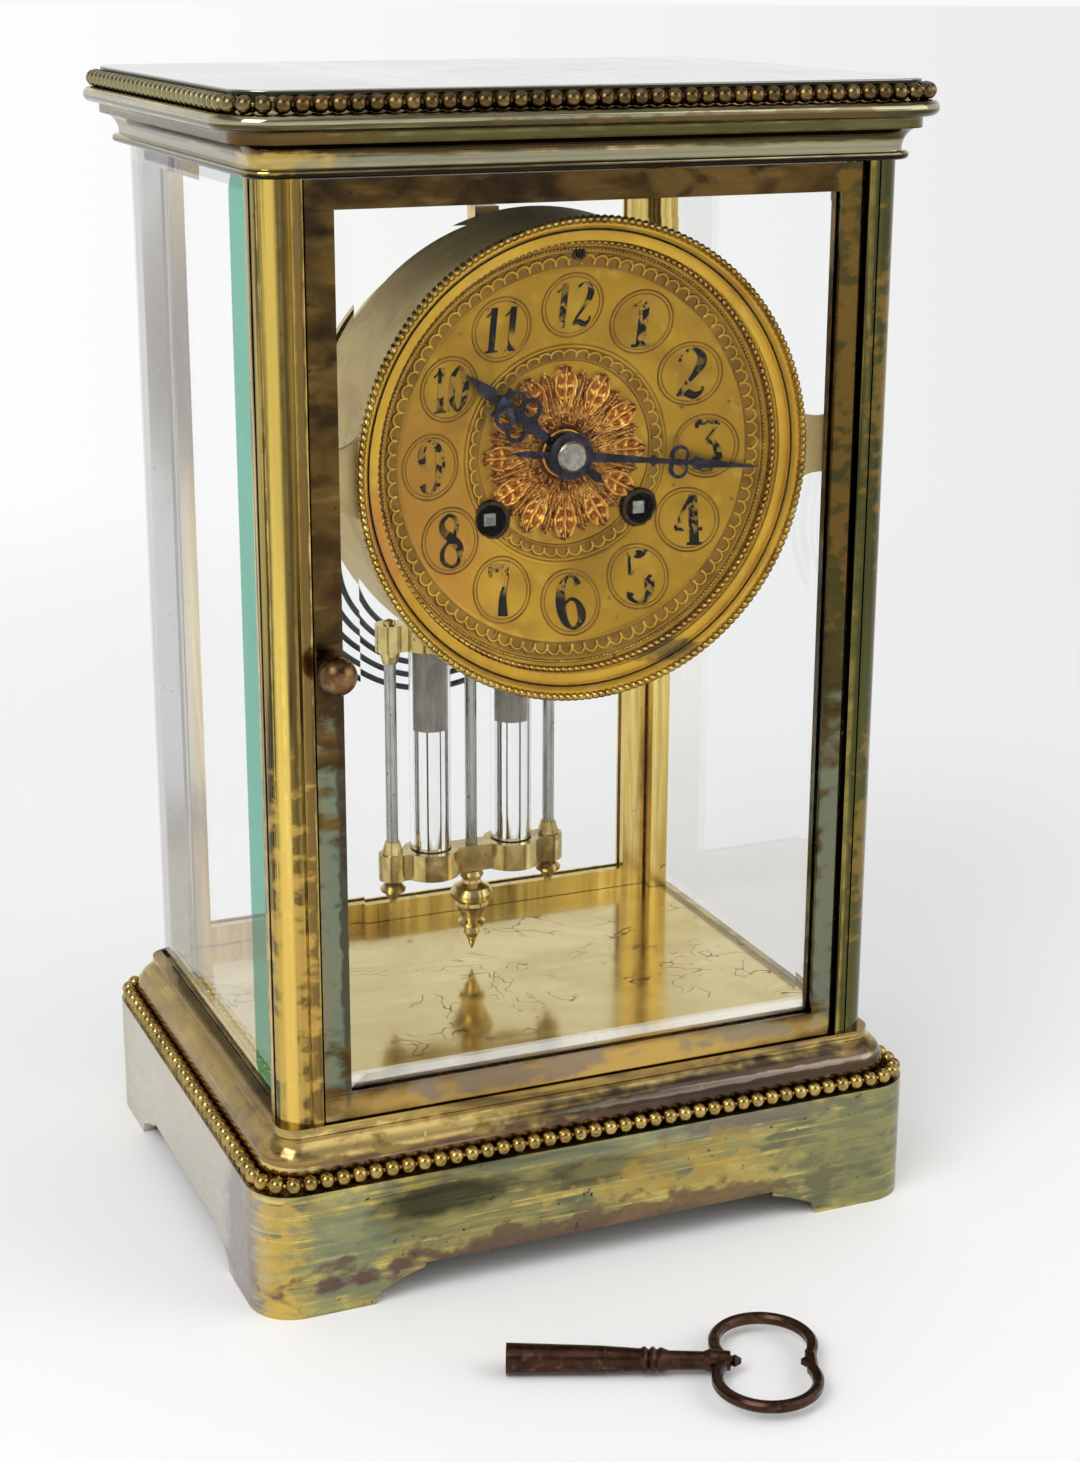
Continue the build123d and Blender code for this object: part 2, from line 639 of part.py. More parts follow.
# Straps and drum
def mounting_straps():
    x1 = DOOR_WIDTH / 2 + DOOR_GAP
    x0 = x1 - STRAP_THICK
    y1 = FRONT + PILLAR_SIZE
    y0 = y1 - STRAP_WIDTH
    strap = block(x0, x1, y0, y1, DOOR_BOTTOM + STRAP_BOTTOM, DOOR_BOTTOM + STRAP_TOP)
    drum_y = DRUM_FRONT + 1.0
    outline = Curve() + [
        Line((DRUM_R - 6, 0, -TAB_HALF), (DRUM_R, 0, -TAB_HALF)),
        ThreePointArc((DRUM_R, 0, -TAB_HALF), ((DRUM_R + x1) / 2, 0, -TAB_WAIST), (x1, 0, -TAB_HALF)),
        Line((x1, 0, -TAB_HALF), (x1, 0, TAB_HALF)),
        ThreePointArc((x1, 0, TAB_HALF), ((DRUM_R + x1) / 2, 0, TAB_WAIST), (DRUM_R, 0, TAB_HALF)),
        Line((DRUM_R, 0, TAB_HALF), (DRUM_R - 6, 0, TAB_HALF)),
        Line((DRUM_R - 6, 0, TAB_HALF), (DRUM_R - 6, 0, -TAB_HALF)),
    ]
    tab = Pos(0, drum_y, DIAL_Z) * extrude(make_face(outline), amount=TAB_THICK, dir=(0, 1, 0))
    tab -= rod_y(0, DIAL_Z, drum_y - 1, drum_y + TAB_THICK + 1, DRUM_R)
    strap += tab
    for z in (STRAP_BOTTOM + 4, STRAP_TOP - 4):
        strap += rod_x((y0 + y1) / 2, DOOR_BOTTOM + z, x0 - 0.6, x0, 1.3)
    return Compound(children=[strap, mirror(strap, about=Plane.YZ)])


def drum_band():
    # A flange inside the drum carries the posts; its skirt runs on behind the flange
    y0, y1 = DRUM_FRONT, DRUM_BACK
    r, t = DRUM_R, DRUM_WALL
    skirt = y0 + DRUM_SKIRT
    profile = [(r, y0), (r, skirt), (r - t, skirt), (r - t, y1), (DRUM_FLANGE_R, y1),
               (DRUM_FLANGE_R, y1 - t), (r - t, y1 - t), (r - t, y0)]
    band = turned_y(0, DIAL_Z, profile)
    return band - rod_y(0, DIAL_Z + REGULATOR_R, y0, y1, ARBOR_R + 0.6)


def bezel():
    y = BEZEL_Y
    r = BEZEL_R
    inner = BEZEL_INNER_R - 0.3
    drop = BEZEL_DROP
    t = DIAL_SHEET
    bore = DRUM_R - DRUM_WALL - 0.1
    back = y + BEZEL_EDGE
    profile = [
        (r, y + 0.4), (r - 0.4, y), (r - 1.6, y), (r - 2.0, y + 0.5),
        (BEZEL_INNER_R + 1.2, y + drop - 0.9), (BEZEL_INNER_R + 1.0, y + drop - 1.3),
        (BEZEL_INNER_R, y + drop - 0.9), (inner, y + drop), (inner, y + drop + t),
        (BEZEL_INNER_R + 1.6, y + drop + t), (bore - 2.1, back + 1.0), (bore, back + 1.0),
        (bore, back), (r, back),
    ]
    return turned_y(0, DIAL_Z, profile)


def dial():
    front = [(r, BEZEL_Y + d) for r, d in DIAL_RINGS]
    back = [(r, y + DIAL_SHEET) for r, y in reversed(front)]
    plate = turned_y(0, DIAL_Z, front + back)
    rise = DIAL_Y - ROSETTE_RISE
    relief = [(HOUR_PIPE_R + 0.7, rise), (ROSETTE_R - 6, rise - 0.2), (ROSETTE_R - 1.6, rise - 0.2),
              (ROSETTE_R, DIAL_Y + 0.1), (HOUR_PIPE_R + 0.7, DIAL_Y + 0.1)]
    plate += turned_y(0, DIAL_Z, relief)
    for x in (-WINDING_X, WINDING_X):
        plate -= rod_y(x, WINDING_Z, BEZEL_Y, DIAL_Y + 4, WINDING_HOLE_R)
    plate -= rod_y(0, DIAL_Z + REGULATOR_R, BEZEL_Y, DIAL_Y, 1.4)
    return plate


def ring_spots(radius, angles):
    return [(radius * cos(radians(a)), DIAL_Z + radius * sin(radians(a))) for a in angles]


def movement_posts():
    posts = [rod_y(x, z, DRUM_BACK, PLATE_F0, POST_R) for x, z in ring_spots(POST_RING, POST_ANGLES)]
    return Compound(children=posts)


# Train layout in the XZ plane, measured from the centre arbor
def aim(a, b):
    return degrees(atan2(b[1] - a[1], b[0] - a[0]))


def beside(origin, distance, angle):
    return (origin[0] + distance * cos(radians(angle)), origin[1] + distance * sin(radians(angle)))


def meet(a, ra, b, rb):
    # The point at ra from a and rb from b, on the upper side
    d = hypot(b[0] - a[0], b[1] - a[1])
    along = (ra * ra - rb * rb + d * d) / (2 * d)
    up = sqrt(ra * ra - along * along)
    ux, uz = (b[0] - a[0]) / d, (b[1] - a[1]) / d
    return (a[0] + along * ux - up * uz, a[1] + along * uz + up * ux)


CENTRE = (0.0, DIAL_Z)
GOING = (WINDING_X, WINDING_Z)
STRIKE = (-WINDING_X, WINDING_Z)
BARREL_REACH = (BARREL_TEETH + LOW_PINION) * BARREL_MODULE / 2
MID = meet(CENTRE, (MID_TEETH + CENTRE_PINION) * MID_MODULE / 2, GOING, BARREL_REACH)
THIRD = beside(CENTRE, (CENTRE_TEETH + SMALL_PINION) * FINE_MODULE / 2, THIRD_ANGLE)
ESCAPE_REACH = (THIRD_TEETH + SMALL_PINION) * FINE_MODULE / 2
ESCAPE = (0.0, THIRD[1] + sqrt(ESCAPE_REACH ** 2 - THIRD[0] ** 2))
ANCHOR = (0.0, ESCAPE[1] + ANCHOR_RISE)
PIN_WHEEL = beside(STRIKE, BARREL_REACH, PIN_WHEEL_ANGLE)
FLY = beside(PIN_WHEEL, (PIN_WHEEL_TEETH + SMALL_PINION) * PIN_WHEEL_MODULE / 2, FLY_ANGLE)
MOTION = beside(CENTRE, (CANNON_TEETH + MINUTE_TEETH) * MOTION_MODULE / 2, 90.0)
HOUR_MODULE = MOTION_MODULE * (CANNON_TEETH + MINUTE_TEETH) / (HOUR_TEETH + CANNON_TEETH)
HAMMER = (HAMMER_X, DIAL_Z + HAMMER_RISE)
REGULATOR = (0.0, DIAL_Z + REGULATOR_R)

LAYER_A = PLATE_F1 + 1.2
LAYER_B = LAYER_A + WHEEL_THICK + 0.9
LAYER_C = LAYER_B + WHEEL_THICK + 0.6
BARREL_Y = LAYER_C + WHEEL_THICK + 0.8
ESCAPE_LAYER = PLATE_B0 - 5.5
LAYER_M1 = PLATE_F0 - 1.9
LAYER_M2 = LAYER_M1 - WHEEL_THICK - 0.8


def arbor(spot, y0, y1, radius=ARBOR_R):
    return rod_y(spot[0], spot[1], y0, y1, radius)


def full_arbor(spot):
    return arbor(spot, PLATE_F0 + PIVOT_END, PLATE_B1 - PIVOT_END)


def pivot_holes(spots, y0, y1, radius=ARBOR_R):
    return joined([arbor(spot, y0, y1, radius + RUN) for spot in spots])


def movement_front_plate():
    plate = arbor(CENTRE, PLATE_F0, PLATE_F1, PLATE_R)
    plate += block(-4, 4, PLATE_F0, PLATE_F1, DIAL_Z + PLATE_R - 4, REGULATOR[1] + 3)
    spots = [CENTRE, MID, THIRD, ESCAPE, ANCHOR, PIN_WHEEL, FLY, HAMMER, REGULATOR]
    plate -= pivot_holes(spots, PLATE_F0, PLATE_F1)
    plate -= pivot_holes([GOING, STRIKE], PLATE_F0, PLATE_F1, BARREL_ARBOR_R)
    plate += arbor(MOTION, LAYER_M2 - 0.6, PLATE_F0)
    return plate


def movement_back_plate():
    plate = arbor(CENTRE, PLATE_B0, PLATE_B1, PLATE_R)
    spots = [MID, THIRD, ESCAPE, ANCHOR, PIN_WHEEL, FLY, HAMMER, CENTRE]
    plate -= pivot_holes(spots, PLATE_B0, PLATE_B1)
    plate -= pivot_holes([GOING, STRIKE], PLATE_B0, PLATE_B1, BARREL_ARBOR_R)
    return plate


def plate_pillars():
    pillars = []
    for x, z in ring_spots(PLATE_PILLAR_RING, PLATE_PILLAR_ANGLES):
        r, y0, y1 = PLATE_PILLAR_R, PLATE_F1, PLATE_B0
        waist = r * 0.72
        profile = [(0, y0), (r, y0), (r, y0 + 3), (waist, y0 + 4), (waist, y1 - 4), (r, y1 - 3),
                   (r, y1), (0, y1)]
        pillars.append(turned_y(x, z, profile))
    return Compound(children=pillars)


def barrel(spot, facing):
    x, z = spot
    r = BARREL_TEETH * BARREL_MODULE / 2 - 1.25 * BARREL_MODULE
    y0, y1 = BARREL_Y, BARREL_Y + BARREL_LENGTH
    bore = BARREL_ARBOR_R + RUN
    inside = r - BARREL_WALL
    profile = [(bore, y0), (r, y0), (r, y1), (bore, y1), (bore, y1 - 1), (inside, y1 - 1),
               (inside, y0 + 1), (bore, y0 + 1)]
    shell = turned_y(x, z, profile)
    rim = toothed(x, z, y0, y0 + 1.6, BARREL_TEETH, BARREL_MODULE, inside, facing, rim=r)
    return shell + rim


def winding_arbor(spot):
    x, z = spot
    tip = DIAL_Y - 1.4
    shaft = arbor(spot, PLATE_F0 - 1.8, PLATE_B1 - PIVOT_END, BARREL_ARBOR_R)
    half = SQUARE / 2
    shaft += block(x - half, x + half, tip, PLATE_F0 - 1.7, z - half, z + half)
    points = []
    for i in range(RATCHET_TEETH):
        for share, r in ((0.0, RATCHET_R), (0.25, RATCHET_R - 0.9), (0.95, RATCHET_R)):
            a = 2 * pi * (i + share) / RATCHET_TEETH
            points.append((r * cos(a), 0, r * sin(a)))
    ratchet = extrude(make_face(Polyline(points, close=True)), amount=1.2, dir=(0, 1, 0))
    shaft += Pos(x, PLATE_F0 - 1.5, z) * ratchet
    hub = BARREL_ARBOR_R + 1.4
    shaft += arbor(spot, BARREL_Y + 1.3, BARREL_Y + BARREL_LENGTH - 1.3, hub)
    return shaft


def mainspring(spot):
    # A coiled band: each half turn steps outwards by half the pitch
    x, z = spot
    arcs = []
    start = BARREL_ARBOR_R + 1.4 + SPRING_BAND
    half = SPRING_PITCH / 2
    for side in (1, -1):
        r = start + side * SPRING_BAND / 2
        here = r
        for i in range(2 * SPRING_TURNS):
            radius = r + half * (i + 0.5)
            sign = 1 if i % 2 == 0 else -1
            there = here - sign * 2 * radius
            middle = (here + there) / 2
            arcs.append(ThreePointArc((here, 0, 0), (middle, 0, sign * radius), (there, 0, 0)))
            here = there
        ends = (r, here)
        if side == 1:
            outer_ends = ends
    arcs.append(Line((outer_ends[0], 0, 0), (ends[0], 0, 0)))
    arcs.append(Line((outer_ends[1], 0, 0), (ends[1], 0, 0)))
    band = extrude(make_face(Curve() + arcs), amount=BARREL_LENGTH - 4, dir=(0, 1, 0))
    return Pos(x, BARREL_Y + 2, z) * band


def centre_arbor():
    shaft = arbor(CENTRE, hand_nut_y() + 0.5, PLATE_B1 - PIVOT_END)
    shaft += toothed(*CENTRE, LAYER_A, LAYER_A + WHEEL_THICK, CENTRE_PINION, MID_MODULE, SEAT_R,
                     aim(CENTRE, MID), True)
    shaft += toothed(*CENTRE, LAYER_B, LAYER_B + WHEEL_THICK, CENTRE_TEETH, FINE_MODULE, SEAT_R,
                     aim(CENTRE, THIRD))
    return shaft


def intermediate_wheel():
    shaft = full_arbor(MID)
    shaft += toothed(*MID, LAYER_A, LAYER_A + WHEEL_THICK, MID_TEETH, MID_MODULE, SEAT_R, aim(MID, CENTRE))
    shaft += toothed(*MID, BARREL_Y - 0.3, BARREL_Y + 1.9, LOW_PINION, BARREL_MODULE, SEAT_R,
                     aim(MID, GOING), True)
    return shaft


def third_wheel():
    y0, y1 = LAYER_B - 0.3, LAYER_B + WHEEL_THICK + 0.2
    shaft = arbor(THIRD, PLATE_F0 + PIVOT_END, y0, THIN_ARBOR_R) + arbor(THIRD, y1, PLATE_B1 - PIVOT_END)
    shaft += toothed(*THIRD, y0, y1, SMALL_PINION, FINE_MODULE, 0.1, aim(THIRD, CENTRE), True)
    shaft += toothed(*THIRD, LAYER_C, LAYER_C + WHEEL_THICK, THIRD_TEETH, FINE_MODULE, SEAT_R,
                     aim(THIRD, ESCAPE))
    return shaft


def escape_wheel():
    y0, y1 = LAYER_C - 0.3, LAYER_C + WHEEL_THICK + 0.3
    shaft = arbor(ESCAPE, PLATE_F0 + PIVOT_END, y0, THIN_ARBOR_R) + arbor(ESCAPE, y1, PLATE_B1 - PIVOT_END)
    shaft += toothed(*ESCAPE, y0, y1, SMALL_PINION, FINE_MODULE, 0.1, aim(ESCAPE, THIRD), True)
    points = []
    for i in range(ESCAPE_TEETH):
        for share, r in ((0.0, ESCAPE_R), (0.12, ESCAPE_R), (0.3, ESCAPE_R - 0.9), (0.8, ESCAPE_R - 0.9)):
            a = 2 * pi * (i + share) / ESCAPE_TEETH
            points.append((r * cos(a), 0, r * sin(a)))
    wheel = extrude(make_face(Polyline(points, close=True)), amount=1.0, dir=(0, 1, 0))
    shaft += Pos(ESCAPE[0], ESCAPE_LAYER, ESCAPE[1]) * wheel
    return shaft


def anchor():
    # The pallets stop just clear of the wheel; the crutch hangs behind the back plate
    x, z = ANCHOR
    y0, y1 = ESCAPE_LAYER - 0.3, ESCAPE_LAYER + 1.3
    body = arbor(ANCHOR, PLATE_F0 + PIVOT_END, PENDULUM_Y + 4.6)
    reach = ESCAPE_R + 0.5
    outer = arbor(ESCAPE, y0, y1, reach + 1.1) - arbor(ESCAPE, y0, y1, reach)
    body += outer & block(-6, 6, y0, y1, ESCAPE[1] + 4.9, ANCHOR[1])
    body += block(x - 0.9, x + 0.9, y0, y1, ESCAPE[1] + reach + 0.3, z)
    body += arbor(ANCHOR, y0, y1, 1.8)
    crutch_y = PLATE_B1 + 1.2
    body += arbor(ANCHOR, crutch_y, crutch_y + 1.2, 2.0)
    foot = DIAL_Z - 6
    body += block(-0.8, 0.8, crutch_y, crutch_y + 1.2, foot, z)
    gap = ROD_R + 0.3
    body += block(-gap - 1.2, gap + 1.2, crutch_y, crutch_y + 1.2, foot - 3, foot)
    for sx in (-1, 1):
        low, high = sorted((sx * gap, sx * (gap + 1.2)))
        body += block(low, high, crutch_y, PENDULUM_Y + 2.5, foot - 3, foot - 1)
    return body - arbor(ANCHOR, PENDULUM_Y - 4.6, PENDULUM_Y + 5, 3)


def cannon_pinion():
    pipe = arbor(CENTRE, minute_hand_y(), PLATE_F0 - RUN, CANNON_R)
    pipe += toothed(*CENTRE, LAYER_M1, LAYER_M1 + WHEEL_THICK, CANNON_TEETH, MOTION_MODULE, ARBOR_R,
                    aim(CENTRE, MOTION), True)
    return pipe - arbor(CENTRE, minute_hand_y() - 1, PLATE_F0, ARBOR_R + 0.02)


def minute_wheel():
    wheel = toothed(*MOTION, LAYER_M1, LAYER_M1 + WHEEL_THICK, MINUTE_TEETH, MOTION_MODULE, ARBOR_R + RUN,
                    aim(MOTION, CENTRE))
    wheel += toothed(*MOTION, LAYER_M2, LAYER_M1, CANNON_TEETH, HOUR_MODULE, ARBOR_R + RUN,
                     aim(MOTION, CENTRE), True)
    return wheel


def hour_wheel():
    pipe_front = hour_hand_y()
    wheel = toothed(*CENTRE, LAYER_M2, LAYER_M2 + WHEEL_THICK, HOUR_TEETH, HOUR_MODULE, CANNON_R + RUN,
                    aim(CENTRE, MOTION))
    wheel += arbor(CENTRE, pipe_front, LAYER_M2 + 0.1, HOUR_PIPE_R)
    return wheel - arbor(CENTRE, pipe_front - 1, LAYER_M2 + 2, CANNON_R + RUN)


def strike_pin_wheel():
    shaft = full_arbor(PIN_WHEEL)
    shaft += toothed(*PIN_WHEEL, LAYER_A, LAYER_A + WHEEL_THICK, PIN_WHEEL_TEETH, PIN_WHEEL_MODULE, SEAT_R,
                     aim(PIN_WHEEL, FLY))
    shaft += toothed(*PIN_WHEEL, BARREL_Y - 0.3, BARREL_Y + 1.9, LOW_PINION, BARREL_MODULE, SEAT_R,
                     aim(PIN_WHEEL, STRIKE), True)
    for i in range(STRIKE_PINS):
        x, z = beside(PIN_WHEEL, 7.0, 360 / STRIKE_PINS * i)
        shaft += rod_y(x, z, LAYER_A + WHEEL_THICK - 0.2, LAYER_B + 0.6, 0.35)
    return shaft


def strike_fly():
    y0, y1 = LAYER_A - 0.3, LAYER_A + WHEEL_THICK + 0.3
    shaft = arbor(FLY, PLATE_F0 + PIVOT_END, y0, THIN_ARBOR_R) + arbor(FLY, y1, PLATE_B1 - PIVOT_END)
    shaft += toothed(*FLY, y0, y1, SMALL_PINION, PIN_WHEEL_MODULE, 0.1, aim(FLY, PIN_WHEEL), True)
    middle = LAYER_C + 2 + FLY_LENGTH / 2
    shaft += Pos(FLY[0], middle, FLY[1]) * Rot(0, 30, 0) * Box(2 * FLY_HALF, FLY_LENGTH, 0.6)
    return shaft


# Gong, hammer, regulator
def gong():
    # Half-turn arcs, each half a pitch larger than the last, from the block outwards
    edges = [Edge.make_line((GONG_INNER, GONG_Y, GONG_Z + GONG_WIRE), (GONG_INNER, GONG_Y, GONG_Z))]
    here = GONG_INNER
    for i in range(GONG_HALF_TURNS):
        radius = GONG_INNER + i * GONG_PITCH / 2
        sign = 1 if i % 2 == 0 else -1
        there = here - sign * 2 * radius
        middle = ((here + there) / 2, GONG_Y, GONG_Z - sign * radius)
        edges.append(Edge.make_three_point_arc((here, GONG_Y, GONG_Z), middle, (there, GONG_Y, GONG_Z)))
        here = there
    edges.append(Edge.make_line((here, GONG_Y, GONG_Z), (here, GONG_Y, GONG_Z + GONG_WIRE)))
    path = Wire(edges)
    start = Plane(path @ 0, z_dir=path % 0)
    wire = sweep(start * Circle(GONG_WIRE / 2), path=path)
    samples = [path @ (i / 900) for i in range(901)]
    least = min((samples[i] - samples[j]).length for i in range(901) for j in range(i + 60, 901, 2))
    print("gong: least gap to itself", round(least - GONG_WIRE, 2), "mm")
    return wire


def gong_bracket():
    x0, x1 = GONG_INNER - 3.4, GONG_INNER + 1.5
    z0 = GONG_Z + GONG_WIRE
    z1 = z0 + GONG_BLOCK
    arm = block(x0, x1, PLATE_B1, GONG_Y + 3.4, z0, z1)
    lug_z = DIAL_Z - sqrt(PLATE_R ** 2 - x1 ** 2)
    arm += block(x0, x1, PLATE_B1, PLATE_B1 + 2, z0, lug_z + 9)
    arm += rod_y((x0 + x1) / 2, lug_z + 6, PLATE_B1 + 2, PLATE_B1 + 3.2, 1.8)
    return arm


def hammer():
    # Leans just clear of the gong's outer turn
    x, z = HAMMER
    face = -(GONG_INNER + (GONG_HALF_TURNS - 2) * GONG_PITCH / 2) - GONG_WIRE / 2 - HAMMER_GAP
    head_z = GONG_Z + 4
    body = arbor(HAMMER, PLATE_F0 + PIVOT_END, GONG_Y + 2.2)
    body += arbor(HAMMER, GONG_Y - 2.0, GONG_Y + 2.2, 2.0)
    foot_x = face - HAMMER_HEAD / 2
    tilt = degrees(atan2(x - foot_x, z - head_z))
    length = hypot(foot_x - x, z - head_z)
    body += Pos(x, GONG_Y, z) * Rot(0, tilt, 0) * block(-0.9, 0.9, -0.8, 0.8, -length, 0)
    return body + rod_x(GONG_Y, head_z, face - HAMMER_HEAD, face, HAMMER_HEAD_R)


def regulator_arbor():
    tip = BEZEL_Y + REGULATOR_DEPTH
    shaft = arbor(REGULATOR, tip, PENDULUM_Y - 5.2)
    half = 0.8
    return shaft + block(-half, half, tip, tip + 3.6, REGULATOR[1] - half, REGULATOR[1] + half)


def suspension_cock():
    z = ANCHOR[1]
    body = block(-7, 7, PLATE_B1, PLATE_B1 + 2, z + 3, DIAL_Z + PLATE_R - 2)
    body += block(-7, 7, PLATE_B1, PENDULUM_Y + 3.5, z + 3.4, z + 8.4)
    body -= block(-3, 3, PENDULUM_Y - 0.2, PENDULUM_Y + 0.2, z, z + 9)
    body += block(-3, 3, PLATE_B1, PLATE_B1 + 5, DIAL_Z + PLATE_R - 6, REGULATOR[1] + 3)
    for x in (-5, 5):
        body += rod_y(x, z + 5.9, PENDULUM_Y + 3.5, PENDULUM_Y + 4.3, 1.5)
    return body - arbor(REGULATOR, PLATE_B1 - 1, PLATE_B1 + 6, ARBOR_R + RUN)


def suspension_spring():
    z = ANCHOR[1]
    return block(-2.2, 2.2, PENDULUM_Y - 0.12, PENDULUM_Y + 0.12, z - 6.2, z + 3.0)


# Hands
def hour_hand_y():
    return DIAL_Y - HAND_LIFT


def minute_hand_y():
    return hour_hand_y() - HAND_THICK - HAND_GAP


def hand_nut_y():
    return minute_hand_y() - HAND_THICK - HAND_NUT


def tapered(points):
    mirrored = [(u, -v) for u, v in reversed(points)]
    return make_face(Polyline(list(points) + mirrored, close=True))


def loop_at(u, v, outer, inner, shift=0.0):
    return Pos(u, v) * Circle(outer) - Pos(u + shift, v) * Circle(inner)


def set_hand(shape, arm, y, clock_degrees):
    # The hub and tail are flat; the arm leans forward so that it clears the dished dial
    lean = degrees(atan2(HAND_SLOPE, 1))
    start = COLLET_R - 1.5
    leaning = Pos(start, 0, 0) * Rot(0, -lean, 0) * Pos(-start, 0, 0) * extrude(arm, HAND_THICK)
    whole = extrude(shape, HAND_THICK) + leaning
    return Pos(0, y, DIAL_Z) * Rot(0, clock_degrees - 90, 0) * Rot(90, 0, 0) * whole


def minute_hand():
    n, t = MINUTE_LENGTH, MINUTE_TAIL
    start = COLLET_R - 1.5
    hub = Circle(COLLET_R) + tapered([(-t, 0.12), (-0.72 * t, 0.75), (-start, 0.7), (0, 1.3)])
    arm = tapered([(start, 1.2), (0.42 * n, 0.6), (0.44 * n, 1.4), (0.46 * n, 0.6),
                   (0.64 * n, 0.5), (0.66 * n, 1.5), (0.72 * n, 1.0), (n, 0.14)])
    for side in (1, -1):
        arm += loop_at(0.575 * n, side * 1.5, 2.3, 1.5, 0.25)
    return set_hand(hub - Circle(ARBOR_R + 0.02), arm, minute_hand_y(), 6 * MINUTES)


def hour_hand():
    n, t = HOUR_LENGTH, HOUR_TAIL
    start = COLLET_R - 1.5
    hub = Circle(COLLET_R - 0.3) + tapered([(-t, 0.12), (-0.8 * t, 1.1), (-0.62 * t, 0.7), (0, 1.2)])
    arm = tapered([(start, 1.1), (0.3 * n, 0.9), (0.36 * n, 1.9), (0.42 * n, 0.8), (0.62 * n, 0.7),
                   (0.66 * n, 2.3), (0.71 * n, 1.0), (0.78 * n, 1.6), (n, 0.14)])
    for side in (1, -1):
        arm += loop_at(0.44 * n, side * 2.9, 2.7, 1.75)
        arm += loop_at(0.57 * n, side * 2.4, 2.3, 1.45)
        arm += Pos(0.66 * n, side * 2.4) * Rectangle(1.1, 2.6)
    return set_hand(hub - Circle(HOUR_PIPE_R), arm, hour_hand_y(), 30 * HOURS + MINUTES / 2)


def hand_nut():
    y = minute_hand_y() - HAND_THICK
    face, r = hand_nut_y(), HAND_NUT_R
    nut = turned_y(0, DIAL_Z, [(0, face), (r - 0.5, face), (r, face + 0.5), (r, y), (0, y)])
    nut -= arbor(CENTRE, face + 0.48, y, ARBOR_R + 0.02)
    return nut - Pos(0, face, DIAL_Z) * Rot(0, 35, 0) * Box(2 * r, 0.5, 0.6)


# Pendulum
def lobed_bar(z, from_above):
    z0, z1 = z - BAR_HEIGHT / 2, z + BAR_HEIGHT / 2
    y = PENDULUM_Y
    bar = block(-ROD_X, ROD_X, y - BAR_NECK, y + BAR_NECK, z0, z1)
    for sx in (-1, 1):
        bar += rod_z(sx * VIAL_X, y, z0, z1, BAR_LOBE_R)
        bar += rod_z(sx * ROD_X, y, z0, z1, BAR_END_R)
        cut = (z1 - VIAL_SEAT, z1) if from_above else (z0, z0 + VIAL_SEAT)
        bar -= rod_z(sx * VIAL_X, y, cut[0], cut[1], VIAL_R + RUN)
        edge, sign = (z1, 1) if from_above else (z0, -1)
        lip = edge + sign * COLLAR
        collar = [(0, edge), (2.7, edge), (2.5, edge + sign), (1.9, lip), (0, lip)]
        bar += turned_z(sx * ROD_X, y, collar)
        depth = sorted((edge - sign * 4, edge + sign * (COLLAR + 0.1)))
        bar -= rod_z(sx * ROD_X, y, depth[0], depth[1], ROD_R + 0.02)
    return bar - rod_z(0, y, z0, z1, ROD_R + 0.02)


def pendulum_bars():
    low = lobed_bar(LOW_BAR_Z, True)
    high = lobed_bar(HIGH_BAR_Z, False)
    z = LOW_BAR_Z - BAR_HEIGHT / 2
    for sx in (-1, 1):
        drop = [(0, z), (1.7, z), (1.3, z - 0.7), (2.4, z - 1.4), (3.3, z - 2.4), (3.1, z - 3.2),
                (2.0, z - 4.0), (1.6, z - 4.8), (1.0, z - 5.4), (0.9, z - 6.6), (0, z - 6.9)]
        low += turned_z(sx * ROD_X, PENDULUM_Y, drop)
        low += rod_z(sx * VIAL_X, PENDULUM_Y, z - 0.7, z, 0.8)
        top = HIGH_BAR_Z + BAR_HEIGHT / 2
        rod_end = [(0, top), (1.6, top), (1.4, top + 0.8), (0, top + 1.3)]
        high += turned_z(sx * ROD_X, PENDULUM_Y, rod_end)
    return Compound(children=[low, high])


def pendulum_rods():
    y = PENDULUM_Y
    low = LOW_BAR_Z + BAR_HEIGHT / 2 - 3.9
    high = HIGH_BAR_Z - BAR_HEIGHT / 2 + 3.9
    rods = [rod_z(sx * ROD_X, y, low, high, ROD_R) for sx in (-1, 1)]
    top = ANCHOR[1] - 4.2
    centre = rod_z(0, y, NUT_TOP - 6, top, ROD_R)
    centre -= block(-ROD_R, ROD_R, y - 0.12, y + 0.12, top - 2, top)
    return Compound(children=rods + [centre])


def vial_floor():
    return LOW_BAR_Z + BAR_HEIGHT / 2 - VIAL_SEAT


def vial_ceiling():
    return HIGH_BAR_Z - BAR_HEIGHT / 2 + VIAL_SEAT


def mercury_vials():
    tubes = []
    for sx in (-1, 1):
        z0, z1 = vial_floor(), vial_ceiling() - 0.2
        tube = rod_z(sx * VIAL_X, PENDULUM_Y, z0, z1, VIAL_R)
        tubes.append(tube - rod_z(sx * VIAL_X, PENDULUM_Y, z0 + 1.2, z1, VIAL_R - VIAL_WALL))
    return Compound(children=tubes)


def mercury():
    r = VIAL_R - VIAL_WALL - 0.02
    low = vial_floor() + 1.2
    return Compound(children=[rod_z(sx * VIAL_X, PENDULUM_Y, low, MERCURY_TOP, r) for sx in (-1, 1)])


def vial_plugs():
    r = VIAL_R - VIAL_WALL - 0.1
    high = vial_ceiling() - 0.3
    return Compound(children=[rod_z(sx * VIAL_X, PENDULUM_Y, MERCURY_TOP, high, r) for sx in (-1, 1)])


